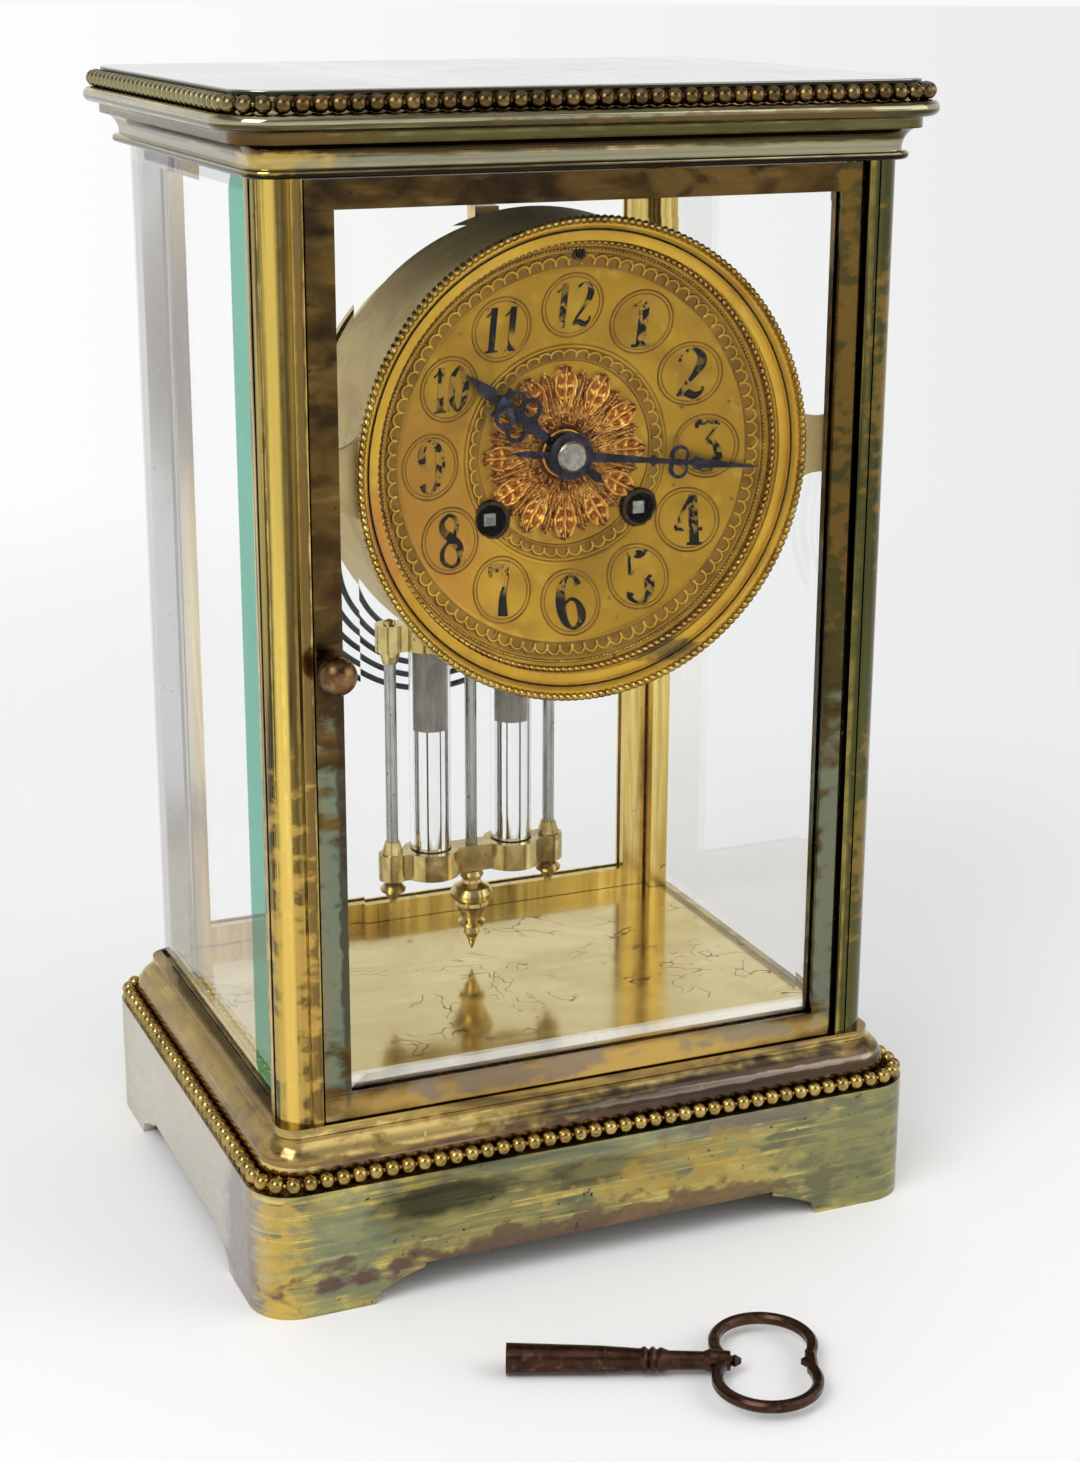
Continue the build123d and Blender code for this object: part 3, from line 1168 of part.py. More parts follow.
def rating_nut():
    # Radii down the turned finial, with how far down each stands as a share of its length
    z, h = NUT_TOP, NUT_TOP - NUT_POINT
    turns = ((0, 0), (2.6, 0), (3.2, 0.05), (2.4, 0.11), (2.5, 0.15), (4.6, 0.2), (5.5, 0.27), (5.3, 0.33),
             (4.1, 0.38), (4.3, 0.42), (3.7, 0.46), (2.6, 0.58), (2.5, 0.61), (3.5, 0.64), (3.3, 0.68),
             (1.9, 0.71), (2.1, 0.78), (1.4, 0.83), (0.7, 0.93), (0, 1))
    profile = [(r, z - share * h) for r, share in turns]
    nut = turned_z(0, PENDULUM_Y, profile)
    return nut - rod_z(0, PENDULUM_Y, z - 6.1, z, ROD_R + RUN)


# Winding key, drawn along +X with its mouth at the origin, then laid on the table
def kidney(x, y, radius):
    # Two lobes with a cleft towards the neck and a slight waist at the far side
    outline = Sketch()
    for sy in (-1, 1):
        outline += Pos(x, sy * y) * Circle(radius)
    reach = radius - KEY_WAIST
    return outline + Pos(x + reach / 2, 0) * Rectangle(reach, 2 * y)


def winding_key():
    dx, dy = KEY_END[0] - KEY_MOUTH[0], KEY_END[1] - KEY_MOUTH[1]
    length = hypot(dx, dy)
    neck = length - KEY_BOW_L
    r, n = KEY_BARREL_R, KEY_NECK_R
    profile = [(0, 0), (r, 0), (r, 1.0), (r - 0.4, 0.46 * neck), (n + 0.2, 0.66 * neck),
               (n + 0.7, 0.68 * neck), (n, 0.70 * neck), (n + 0.7, 0.72 * neck), (n, 0.74 * neck),
               (n + 0.5, 0.76 * neck), (n - 0.2, 0.80 * neck), (n - 0.3, 0.97 * neck), (n + 0.3, neck),
               (n - 0.2, neck + 4.4), (0, neck + 4.4)]
    barrel_part = Rot(0, 90, 0) * turned_z(0, 0, profile)
    bore = SQUARE / 2 + 0.1
    barrel_part -= block(0, KEY_BORE, -bore, bore, -bore, bore)
    half_w, bow_l, bar = KEY_BOW_W / 2, KEY_BOW_L, KEY_BAR
    bow_z = -KEY_THICK / 2
    lobe_r = bow_l / 2
    lobe_x = neck + lobe_r
    lobe_y = half_w - lobe_r
    ring = kidney(lobe_x, lobe_y, lobe_r) - kidney(lobe_x, lobe_y, lobe_r - bar)
    near = lobe_x - sqrt((lobe_r - bar) ** 2 - lobe_y ** 2) - 0.3
    far = neck + bow_l - bar - KEY_WAIST
    for x, size in ((near, KEY_CUSP), (far, 0.8 * KEY_CUSP)):
        ring += Pos(x, 0) * Rot(0, 0, 45) * Rectangle(size, size)
    bow = Pos(0, 0, bow_z) * extrude(ring, KEY_THICK)
    layers = bow.edges().group_by(Axis.Z)
    bow = chamfer(layers[0] + layers[-1], KEY_EDGE)
    key = barrel_part + bow
    angle = degrees(atan2(dy, dx))
    return Pos(KEY_MOUTH[0], KEY_MOUTH[1], KEY_BARREL_R) * Rot(0, 0, angle) * key


def export_all():
    os.makedirs("parts", exist_ok=True)
    front_left = pillar(-1, -1, True)
    front_right = pillar(1, -1, False)
    back_left = pillar(-1, 1, False)
    back_right = pillar(1, 1, True)
    shapes = {
        "base_plinth": base_plinth() - pillar_holes(),
        "base_moulding": base_moulding(),
        "base_bead_ring": base_bead_ring(),
        "floor_plate": floor_plate(),
        "front_pillars": Compound(children=[front_left, front_right]),
        "back_pillars": Compound(children=[back_left, back_right]),
        "side_glasses": side_glasses(),
        "cornice": cornice(),
        "cornice_bead_ring": cornice_bead_ring(),
        "top_plate": top_plate(),
        "case_screws": case_screws(),
        "mounting_straps": mounting_straps(),
        "drum_band": drum_band(),
        "bezel": bezel(),
        "dial": dial(),
        "movement_posts": movement_posts(),
        "movement_front_plate": movement_front_plate(),
        "movement_back_plate": movement_back_plate(),
        "plate_pillars": plate_pillars(),
        "going_barrel": barrel(GOING, aim(GOING, MID)),
        "strike_barrel": barrel(STRIKE, aim(STRIKE, PIN_WHEEL)),
        "going_winding_arbor": winding_arbor(GOING),
        "strike_winding_arbor": winding_arbor(STRIKE),
        "going_mainspring": mainspring(GOING),
        "strike_mainspring": mainspring(STRIKE),
        "centre_arbor": centre_arbor(),
        "intermediate_wheel": intermediate_wheel(),
        "third_wheel": third_wheel(),
        "escape_wheel": escape_wheel(),
        "anchor": anchor(),
        "cannon_pinion": cannon_pinion(),
        "minute_wheel": minute_wheel(),
        "hour_wheel": hour_wheel(),
        "strike_pin_wheel": strike_pin_wheel(),
        "strike_fly": strike_fly(),
        "gong": gong(),
        "gong_bracket": gong_bracket(),
        "hammer": hammer(),
        "regulator_arbor": regulator_arbor(),
        "suspension_cock": suspension_cock(),
        "suspension_spring": suspension_spring(),
        "hour_hand": hour_hand(),
        "minute_hand": minute_hand(),
        "hand_nut": hand_nut(),
        "pendulum_bars": pendulum_bars(),
        "pendulum_rods": pendulum_rods(),
        "mercury_vials": mercury_vials(),
        "mercury": mercury(),
        "vial_plugs": vial_plugs(),
        "rating_nut": rating_nut(),
        "winding_key": winding_key(),
    }
    for side in ("front", "back"):
        back = side == "back"
        shapes[side + "_door_frame"] = placed_door(door_frame(), back)
        shapes[side + "_door_glass"] = placed_door(door_glass(), back)
        shapes[side + "_door_pins"] = placed_door(door_pins(), back)
        shapes[side + "_door_knob"] = placed_door(door_knob(), back)
    for name, shape in shapes.items():
        export_step(shape, f"parts/{name}.step")


export_all()
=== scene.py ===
from math import cos, pi, radians, sin

import bmesh
import bpy
import numpy as np
from mathutils import Matrix, Vector


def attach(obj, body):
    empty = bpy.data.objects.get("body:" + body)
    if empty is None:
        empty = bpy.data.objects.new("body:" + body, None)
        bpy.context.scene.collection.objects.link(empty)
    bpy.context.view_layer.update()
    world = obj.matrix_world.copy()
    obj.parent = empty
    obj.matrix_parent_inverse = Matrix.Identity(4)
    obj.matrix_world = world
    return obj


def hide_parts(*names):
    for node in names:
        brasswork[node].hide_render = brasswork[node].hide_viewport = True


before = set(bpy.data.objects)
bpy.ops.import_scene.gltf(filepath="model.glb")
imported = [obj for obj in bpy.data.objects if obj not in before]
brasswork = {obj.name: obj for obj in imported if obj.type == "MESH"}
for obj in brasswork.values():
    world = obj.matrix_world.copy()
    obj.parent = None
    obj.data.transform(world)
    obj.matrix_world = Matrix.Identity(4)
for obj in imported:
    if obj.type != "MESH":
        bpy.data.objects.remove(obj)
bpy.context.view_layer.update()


# The clock stands on a plain white table in soft light from a large panel high on its left,
# a weaker one on its right and the pale room around it. The camera looks down on its front
# left corner from a little over half a metre away.
eye = Vector((-0.2226, -0.5522, 0.2953))
turn, dip, roll = 0.4008, 0.3002, 0.0036
SENSOR = 36
PHOTO_HEIGHT = 1462
FOCAL_PIXELS = 2529.79
ahead = Vector((sin(turn) * cos(dip), cos(turn) * cos(dip), -sin(dip)))
level = Vector((cos(turn), -sin(turn), 0))
above = level.cross(ahead)
right = cos(roll) * level + sin(roll) * above
upward = cos(roll) * above - sin(roll) * level
lens = bpy.data.cameras.new("photo_view")
lens.sensor_fit = "VERTICAL"
lens.sensor_height = SENSOR
lens.lens = SENSOR * FOCAL_PIXELS / PHOTO_HEIGHT
lens.clip_start = 0.01
camera = bpy.data.objects.new("photo_view", lens)
camera.matrix_world = Matrix((right, upward, -ahead)).transposed().to_4x4()
camera.matrix_world.translation = eye
bpy.context.collection.objects.link(camera)
bpy.context.scene.camera = camera
bpy.context.scene.view_settings.view_transform = "Standard"
clock_middle = Vector((0, 0, 0.12))


def soft_panel(name, place, size, watts):
    light = bpy.data.lights.new(name, "AREA")
    light.shape = "SQUARE"
    light.size = size
    light.energy = watts
    lamp = bpy.data.objects.new(name, light)
    lamp.location = place
    lamp.rotation_euler = (clock_middle - Vector(place)).to_track_quat("-Z", "Y").to_euler()
    bpy.context.collection.objects.link(lamp)


soft_panel("panel_high_left", (-0.75, -0.55, 1.0), 0.7, 7.0)
soft_panel("panel_right", (0.9, -0.7, 0.7), 0.9, 4.0)


def fill(tree, socket, value):
    """Links a socket to another one or to a node's first output, or else sets its value."""
    if isinstance(value, bpy.types.Node):
        value = value.outputs[0]
    if isinstance(value, bpy.types.NodeSocket):
        tree.links.new(value, socket)
    elif isinstance(value, (int, float)) and socket.type == "VECTOR":
        socket.default_value = (value, value, value)
    elif socket.type == "RGBA":
        socket.default_value = (*value, 1)
    else:
        socket.default_value = value


def add(tree, kind, inputs=None, **fields):
    node = tree.nodes.new(kind)
    for field, value in fields.items():
        setattr(node, field, value)
    for label, value in (inputs or {}).items():
        fill(tree, node.inputs[label], value)
    return node


def arithmetic(tree, operation, *values):
    return add(tree, "ShaderNodeMath", dict(enumerate(values)), operation=operation).outputs[0]


def vector_step(tree, operation, *values):
    return add(tree, "ShaderNodeVectorMath", dict(enumerate(values)), operation=operation).outputs


def times(tree, first, second):
    return arithmetic(tree, "MULTIPLY", first, second)


def plus(tree, first, second):
    return arithmetic(tree, "ADD", first, second)


def smooth_step(tree, value, low, high):
    ramp = add(tree, "ShaderNodeMapRange", {"Value": value, "From Min": low, "From Max": high},
               interpolation_type="SMOOTHSTEP")
    return ramp.outputs["Result"]


def seen_directly(tree):
    # One for rays that show the background: straight from the camera, mirrored or through glass
    path = add(tree, "ShaderNodeLightPath").outputs
    either = arithmetic(tree, "MAXIMUM", path["Is Camera Ray"], path["Is Glossy Ray"])
    return arithmetic(tree, "MAXIMUM", either, path["Is Transmission Ray"])


room = bpy.data.worlds.new("pale_room")
bpy.context.scene.world = room
room.use_nodes = True
walls = room.node_tree
walls.nodes.clear()
# By height: pale walls, a dim band above them and the bright ceiling overhead
facing = add(walls, "ShaderNodeTexCoord").outputs["Generated"]
split = add(walls, "ShaderNodeSeparateXYZ", {0: facing})
height = arithmetic(walls, "MULTIPLY_ADD", split.outputs["Z"], 0.5, 0.5)
ceiling = add(walls, "ShaderNodeValToRGB", {"Fac": height})
stops = ceiling.color_ramp.elements
for index, (position, tone) in enumerate(((0.67, (0.95, 0.95, 0.95)), (0.79, (0.26, 0.27, 0.28)),
                                          (0.88, (0.3, 0.3, 0.3)), (0.95, (0.9, 0.9, 0.9)))):
    stop = stops[index] if index < 2 else stops.new(position)
    stop.position = position
    stop.color = (*tone, 1)
shown = add(walls, "ShaderNodeBackground", {"Color": ceiling})
cast = add(walls, "ShaderNodeBackground", {"Color": (0.99, 0.99, 1), "Strength": 0.78})
either_wall = add(walls, "ShaderNodeMixShader", {"Fac": seen_directly(walls), 1: cast, 2: shown})
add(walls, "ShaderNodeOutputWorld", {"Surface": either_wall})

TABLE_REACH = 14.0
TABLE_SIDES = 64
GLOW_STARTS, GLOW_FULL = 0.25, 0.9
table_mesh = bpy.data.meshes.new("table")
rim = [(TABLE_REACH * cos(a), TABLE_REACH * sin(a), 0)
       for a in np.linspace(0, 2 * pi, TABLE_SIDES + 1)[:-1]]
table_mesh.from_pydata(rim, [], [list(range(TABLE_SIDES))])
table = bpy.data.objects.new("table", table_mesh)
bpy.context.collection.objects.link(table)
white = bpy.data.materials.new("white_table")
white.use_nodes = True
paint = white.node_tree
matt = paint.nodes["Principled BSDF"]
fill(paint, matt.inputs["Base Color"], (0.9, 0.9, 0.9))
fill(paint, matt.inputs["Roughness"], 0.7)
# The sheet's brightness falls off in a fan from left to right, as the panel on the left lights it
place = add(paint, "ShaderNodeTexCoord").outputs["Object"]
fan = vector_step(paint, "SUBTRACT", place, eye)[0]
sideways = vector_step(paint, "DOT_PRODUCT", fan, level)["Value"]
onward = vector_step(paint, "DOT_PRODUCT", fan, ahead)["Value"]
slope = arithmetic(paint, "DIVIDE", sideways, onward)
falling = add(paint, "ShaderNodeMapRange", {"Value": slope, "From Min": -0.2, "From Max": 0.2,
                                            "To Min": 0.985, "To Max": 0.84})
glow = add(paint, "ShaderNodeEmission", {"Color": falling.outputs["Result"]})
distance = vector_step(paint, "LENGTH", place)["Value"]
far = smooth_step(paint, distance, GLOW_STARTS, GLOW_FULL)
only_seen = times(paint, far, seen_directly(paint))
blend = add(paint, "ShaderNodeMixShader", {"Fac": only_seen, 1: matt, 2: glow})
fill(paint, paint.nodes["Material Output"].inputs["Surface"], blend)
table_mesh.materials.append(white)


# The plinth is a sheet brass box on four bracket feet. Its old lacquer has let the brass tarnish
# to olive, straw and violet grey, with fine rubbing along its length, brown spots, and a rubbed
# yellow corner at the front left.
def new_group(name, inputs, outputs, kind="ShaderNodeTree"):
    """A node group with the sockets named; gives the group, what comes in and its end node."""
    group = bpy.data.node_groups.new(name, kind)
    for in_out, sockets in (("INPUT", inputs), ("OUTPUT", outputs)):
        for label, value in sockets.items():
            group.interface.new_socket(name=label, in_out=in_out, socket_type="NodeSocket" + value)
    return group, add(group, "NodeGroupInput").outputs, add(group, "NodeGroupOutput")


def mixed(tree, factor, under, over):
    return add(tree, "ShaderNodeMix", {"Factor": factor, 6: under, 7: over}, data_type="RGBA").outputs[2]


def grain(tree, vector, stretch, detail, distortion=0.0, offset=0.0):
    scaled = vector_step(tree, "MULTIPLY_ADD", vector, stretch, offset)[0]
    return add(tree, "ShaderNodeTexNoise", {"Vector": scaled, "Scale": 1, "Detail": detail,
                                            "Distortion": distortion}).outputs["Fac"]


film_tree, given, film_end = new_group("tarnish_film", {
    "Vector": "Vector", "Cloud": "Vector", "Rubbing": "Vector", "Body": "Color", "Pale": "Color",
    "Deep": "Color", "Rubbed": "Color", "Pale Share": "Float", "Deep Share": "Float",
    "Rubbed Share": "Float", "Spots": "Float"}, {"Color": "Color", "Roughness": "Float", "Height": "Float"})
vector = given["Vector"]
cloud = grain(film_tree, vector, given["Cloud"], 5, 0.9)
second_cloud = grain(film_tree, vector, given["Cloud"], 6, 1.6, 7.3)
rubbing = grain(film_tree, vector, given["Rubbing"], 5, 0.2)
patches = smooth_step(film_tree, grain(film_tree, vector, (110, 110, 160), 5, 0.4, 3.1), 0.4, 0.62)
spots = smooth_step(film_tree, grain(film_tree, vector, 620, 2, 0.3, 1.7), 0.68, 0.76)
pale = times(film_tree, smooth_step(film_tree, cloud, 0.42, 0.62), given["Pale Share"])
deep = times(film_tree, smooth_step(film_tree, second_cloud, 0.46, 0.66), given["Deep Share"])
worn = times(film_tree, smooth_step(film_tree, rubbing, 0.5, 0.72), given["Rubbed Share"])
patchy = times(film_tree, worn, plus(film_tree, patches, 0.35))
spotted = times(film_tree, spots, given["Spots"])
film = given["Body"]
for mask, tone in ((pale, given["Pale"]), (deep, given["Deep"]), (patchy, given["Rubbed"]),
                   (spotted, (0.035, 0.022, 0.012))):
    film = mixed(film_tree, mask, film, tone)
sheen = plus(film_tree, times(film_tree, cloud, 0.22), times(film_tree, rubbing, 0.16))
fill(film_tree, film_end.inputs["Color"], film)
fill(film_tree, film_end.inputs["Roughness"], plus(film_tree, sheen, times(film_tree, spotted, 0.3)))
fill(film_tree, film_end.inputs["Height"], plus(film_tree, times(film_tree, rubbing, 0.6),
                                                times(film_tree, spotted, -0.8)))

stain, given, patch_mask_end = new_group("stain", {
    "Vector": "Vector", "Centre": "Vector", "Reach": "Vector", "Ragged": "Float"}, {"Mask": "Float"})
offset = vector_step(stain, "SUBTRACT", given["Vector"], given["Centre"])[0]
away = vector_step(stain, "LENGTH", vector_step(stain, "DIVIDE", offset, given["Reach"])[0])["Value"]
ragged = arithmetic(stain, "SUBTRACT", grain(stain, given["Vector"], (160, 160, 260), 5), 0.5)
ragged = times(stain, ragged, times(stain, given["Ragged"], 3))
fill(stain, patch_mask_end.inputs["Mask"], smooth_step(stain, plus(stain, away, ragged), 1.15, 0.55))


def dress(node, material):
    mesh = brasswork[node].data
    mesh.materials.clear()
    mesh.materials.append(material)


FILM_SHEEN = 0.15
SHALLOW, DEEP = 0.00004, 0.00005


class Finish:
    """One metal finish: a film of tarnish, then stains and patches of painted light and shade laid over it
    in turn.
    """

    def __init__(self, name, body, pale, deep, rubbed, cloud, rubbing, shares=(0.6, 0.5, 0.5), spots=0.6,
                 metallic=1.0):
        self.material = bpy.data.materials.new(name)
        self.material.use_nodes = True
        self.tree = self.material.node_tree
        self.shader = self.tree.nodes["Principled BSDF"].inputs
        self.shader["Metallic"].default_value = metallic
        self.place = add(self.tree, "ShaderNodeTexCoord").outputs["Object"]
        film = add(self.tree, "ShaderNodeGroup", {
            "Vector": self.place, "Cloud": cloud, "Rubbing": rubbing, "Body": body, "Pale": pale,
            "Deep": deep, "Rubbed": rubbed, "Pale Share": shares[0], "Deep Share": shares[1],
            "Rubbed Share": shares[2], "Spots": spots}, node_tree=film_tree).outputs
        self.colour, self.roughness, self.height = film["Color"], film["Roughness"], film["Height"]

    def stained(self, *stains):
        """Each patch, one of the stains or of the painted light and shade, is given by its colour, centre,
        reach along the axes, amount and raggedness.
        """
        for colour, centre, reach, amount, ragged in stains:
            zone = add(self.tree, "ShaderNodeGroup", {"Vector": self.place, "Centre": centre,
                                                      "Reach": reach, "Ragged": ragged}, node_tree=stain)
            self.colour = mixed(self.tree, times(self.tree, zone, amount), self.colour, colour)
        return self

    def done(self, low, bump, *nodes, depth=SHALLOW):
        """Joins the finish to its shader and puts it on the named CAD pieces."""
        relief = add(self.tree, "ShaderNodeBump", {"Strength": bump, "Distance": depth,
                                                   "Height": self.height})
        fill(self.tree, self.shader["Base Color"], self.colour)
        fill(self.tree, self.shader["Roughness"], plus(self.tree, self.roughness, low - FILM_SHEEN))
        fill(self.tree, self.shader["Normal"], relief)
        for node in nodes:
            dress(node, self.material)
        return self.material


PLINTH_FRONT = -0.0665
SKIN = 0.01


def on_front(y, *stains):
    """Stains on a face turned to the front: colour, x, z, half width, half height, amount, raggedness."""
    return [(colour, (x, y, z), (wide, SKIN, tall), amount, ragged)
            for colour, x, z, wide, tall, amount, ragged in stains]


Finish("plinth_brass", (0.31, 0.28, 0.115), (0.5, 0.42, 0.15), (0.165, 0.165, 0.1),
       (0.74, 0.58, 0.17), (38, 38, 150), (22, 22, 1000), (0.85, 0.95, 1.0), 1.0).stained(
    ((0.66, 0.62, 0.55), (-0.0836, 0.0, 0.02), (0.006, 0.075, 0.05), 0.85, 0.1),
    ((0.78, 0.5, 0.08), (-0.079, -0.0625, 0.014), (0.0065, 0.0065, 0.026), 0.5, 1.9),
    ((0.27, 0.22, 0.24), (-0.0836, -0.05, 0.012), (0.006, 0.012, 0.03), 0.7, 0.4),
    *on_front(
        PLINTH_FRONT,
        ((0.2, 0.25, 0.17), -0.062, 0.014, 0.011, 0.022, 0.6, 1.2),
        ((0.05, 0.055, 0.035), -0.04, 0.0235, 0.02, 0.0045, 0.85, 0.3),
        ((0.075, 0.07, 0.045), -0.002, 0.023, 0.015, 0.0042, 0.75, 0.3),
        ((0.27, 0.25, 0.11), -0.001, 0.0232, 0.0095, 0.0022, 0.8, 0.2),
        ((0.26, 0.3, 0.2), 0.012, 0.0285, 0.055, 0.003, 0.6, 0.3),
        ((0.19, 0.125, 0.11), -0.02, 0.0075, 0.05, 0.0035, 0.65, 0.7),
        ((0.17, 0.12, 0.12), 0.045, 0.0285, 0.035, 0.003, 0.6, 0.7),
        ((0.68, 0.5, 0.13), 0.035, 0.015, 0.034, 0.006, 0.5, 1.8),
        ((0.42, 0.28, 0.075), 0.02, 0.021, 0.016, 0.006, 0.5, 1.9),
        ((0.13, 0.075, 0.062), 0.0, 0.009, 0.075, 0.0045, 0.75, 1.2),
        ((0.16, 0.185, 0.105), 0.07, 0.016, 0.028, 0.02, 0.6, 0.6)),
    ((0.09, 0.07, 0.05), (0.0, PLINTH_FRONT, 0.0315), (0.09, 0.012, 0.0012), 0.7, 0.5)).done(
    0.24, 0.3, "base_plinth")


# The base moulding is a rolled brass section, mitred round the case and screwed to the plinth:
# straw and brown with bright rubbed lines and a painted highlight along its front ridge, its left run
# paler, a violet bloom at the front.
Finish("moulding_brass", (0.32, 0.21, 0.065), (0.56, 0.4, 0.12), (0.13, 0.085, 0.06),
       (0.84, 0.65, 0.25), (34, 34, 130), (12, 12, 900), (0.75, 0.85, 0.9), 0.6).stained(
    ((0.4, 0.28, 0.085), (-0.077, 0.01, 0.036), (0.006, 0.07, 0.02), 0.6, 0.5),
    ((0.3, 0.2, 0.13), (-0.078, 0.0, 0.0345), (0.006, 0.06, 0.003), 0.6, 1.0),
    ((0.052, 0.036, 0.032), (0.035, -0.062, 0.036), (0.065, 0.01, 0.0055), 0.93, 0.5),
    # A pale line along the ridge of the front is a painted highlight.
    ((0.4, 0.33, 0.25), (0.035, -0.062, 0.0372), (0.06, 0.01, 0.0007), 0.55, 0.6),
    ((0.9, 0.66, 0.24), (-0.05, -0.059, 0.0385), (0.028, 0.006, 0.0022), 0.85, 1.0),
    ((0.12, 0.07, 0.05), (-0.03, -0.063, 0.0345), (0.05, 0.006, 0.0016), 0.75, 0.9)).done(
    0.15, 0.15, "base_moulding")


# A run of turned brass beads, strung close on a wire, lies in the step of the plinth; the same
# beads edge the cornice. Handling has kept the base beads bright and left the upper ones brown.
bead_tree, given, bead_end = new_group("bead_run", {
    "Width": "Float", "Depth": "Float", "Corner": "Float", "Level": "Float", "Bead Radius": "Float",
    "Count": "Int", "Metal": "Material"}, {"Geometry": "Geometry"}, "GeometryNodeTree")
STRIP_WIDTH = 0.0009
frame_line = add(bead_tree, "GeometryNodeCurvePrimitiveQuadrilateral",
                 {"Width": given["Width"], "Height": given["Depth"]})
rounded = add(bead_tree, "GeometryNodeFilletCurve",
              {"Curve": frame_line, "Radius": given["Corner"], "Count": 12}, mode="POLY")
spaced = add(bead_tree, "GeometryNodeResampleCurve", {"Curve": rounded, "Count": given["Count"]})
bead = add(bead_tree, "GeometryNodeMeshUVSphere",
           {"Segments": 16, "Rings": 10, "Radius": given["Bead Radius"]})
strung = add(bead_tree, "GeometryNodeInstanceOnPoints", {"Points": spaced, "Instance": bead})
smoothed = add(bead_tree, "GeometryNodeSetShadeSmooth",
               {0: add(bead_tree, "GeometryNodeRealizeInstances", {0: strung})})
strip_edge = add(bead_tree, "GeometryNodeCurvePrimitiveQuadrilateral",
                 {"Width": STRIP_WIDTH, "Height": STRIP_WIDTH})
strip = add(bead_tree, "GeometryNodeCurveToMesh", {"Curve": rounded, "Profile Curve": strip_edge})
both = add(bead_tree, "GeometryNodeJoinGeometry", {0: smoothed})
fill(bead_tree, both.inputs[0], strip)
lift = add(bead_tree, "ShaderNodeCombineXYZ", {"Z": given["Level"]})
raised = add(bead_tree, "GeometryNodeTransform", {"Geometry": both, "Translation": lift})
plated = add(bead_tree, "GeometryNodeSetMaterial", {"Geometry": raised, "Material": given["Metal"]})
fill(bead_tree, bead_end.inputs["Geometry"], plated)


def made_by_nodes(name, tree, settings):
    """Runs a tree with the named settings and keeps its result as a plain mesh object."""
    carrier = bpy.data.objects.new(name, bpy.data.meshes.new(name))
    bpy.context.collection.objects.link(carrier)
    modifier = carrier.modifiers.new("make", "NODES")
    modifier.node_group = tree
    for item in tree.interface.items_tree:
        if item.in_out == "INPUT" and item.name in settings:
            modifier[item.identifier] = settings[item.name]
    seen = carrier.evaluated_get(bpy.context.evaluated_depsgraph_get())
    mesh = bpy.data.meshes.new_from_object(seen)
    carrier.modifiers.remove(modifier)
    carrier.data = mesh
    return carrier


BEAD_PITCH = 0.00386
BEAD_RADIUS = 0.00186


def bead_run(name, node, half_width, half_depth, corner, level, metal):
    around = 4 * (half_width + half_depth - 2 * corner) + 2 * pi * corner
    beads = made_by_nodes(name, bead_tree, {
        "Width": 2 * half_width, "Depth": 2 * half_depth, "Corner": corner, "Level": level,
        "Bead Radius": BEAD_RADIUS, "Count": round(around / BEAD_PITCH), "Metal": metal})
    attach(beads, "case")
    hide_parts(node)


base_bead_finish = Finish("base_bead_brass", (0.34, 0.23, 0.065), (0.52, 0.37, 0.12),
                          (0.13, 0.09, 0.04), (0.78, 0.6, 0.24), (120, 120, 200), 300, (0.7, 0.6, 0.4),
                          0.7)
cornice_bead_finish = Finish("cornice_bead_brass", (0.1, 0.062, 0.024), (0.2, 0.13, 0.045),
                             (0.04, 0.026, 0.013), (0.46, 0.33, 0.13), (120, 120, 200), 300,
                             (0.7, 0.6, 0.4), 0.6).stained(
    ((0.36, 0.33, 0.16), (-0.08, 0.0, 0.266), (0.01, 0.07, 0.02), 0.7, 0.3))
bead_run("base_beads", "base_bead_ring", 0.0817, 0.0646, 0.0085, 0.03236, base_bead_finish.done(0.1, 0.1))
bead_run("cornice_beads", "cornice_bead_ring", 0.0803, 0.0632, 0.0101, 0.26576,
         cornice_bead_finish.done(0.14, 0.1))


# The cornice is one mitred brass moulding: astragal, cove, fillet, torus and a narrow deck. It has
# gone brown and olive with polished lines on its edges, and bands by height paint its light and
# shade. A thin plate lies on the deck as a lid, with painted shade round its edge.
Finish("cornice_brass", (0.125, 0.092, 0.034), (0.36, 0.31, 0.17), (0.045, 0.036, 0.016),
       (0.74, 0.61, 0.31), (14, 14, 330), (9, 9, 1300), (0.75, 0.85, 0.7), 0.3).stained(
    # Painted light and shade by height: a highlight on top of the torus, shade on the torus under it, a
    # dark crease, the shaded fillet and upper cove, a reflection of the white table on the lower cove and a
    # dark crease above the astragal.
    *[(colour, (0, 0, low), (1, 1, tall), amount, ragged) for low, tall, colour, amount, ragged in (
        (0.2625, 0.0007, (0.46, 0.44, 0.29), 0.6, 0.35),
        (0.2616, 0.0005, (0.06, 0.055, 0.022), 0.7, 0.4),
        (0.26055, 0.0006, (0.018, 0.014, 0.008), 0.9, 0.05),
        (0.2591, 0.0011, (0.1, 0.095, 0.03), 0.75, 0.4),
        (0.2568, 0.0016, (0.05, 0.032, 0.013), 0.85, 0.35),
        (0.2536, 0.0015, (0.36, 0.34, 0.24), 0.75, 0.25),
        (0.2515, 0.0007, (0.012, 0.008, 0.005), 0.95, 0.05))],
    ((0.56, 0.4, 0.1), (-0.073, -0.058, 0.2545), (0.018, 0.014, 0.0025), 0.75, 0.8),
    ((0.13, 0.07, 0.024), (-0.072, -0.058, 0.2592), (0.03, 0.014, 0.0016), 0.8, 0.9),
    ((0.16, 0.085, 0.03), (0.03, -0.06, 0.2616), (0.045, 0.02, 0.0012), 0.6, 1.2)).done(
    0.04, 0.1, "cornice")
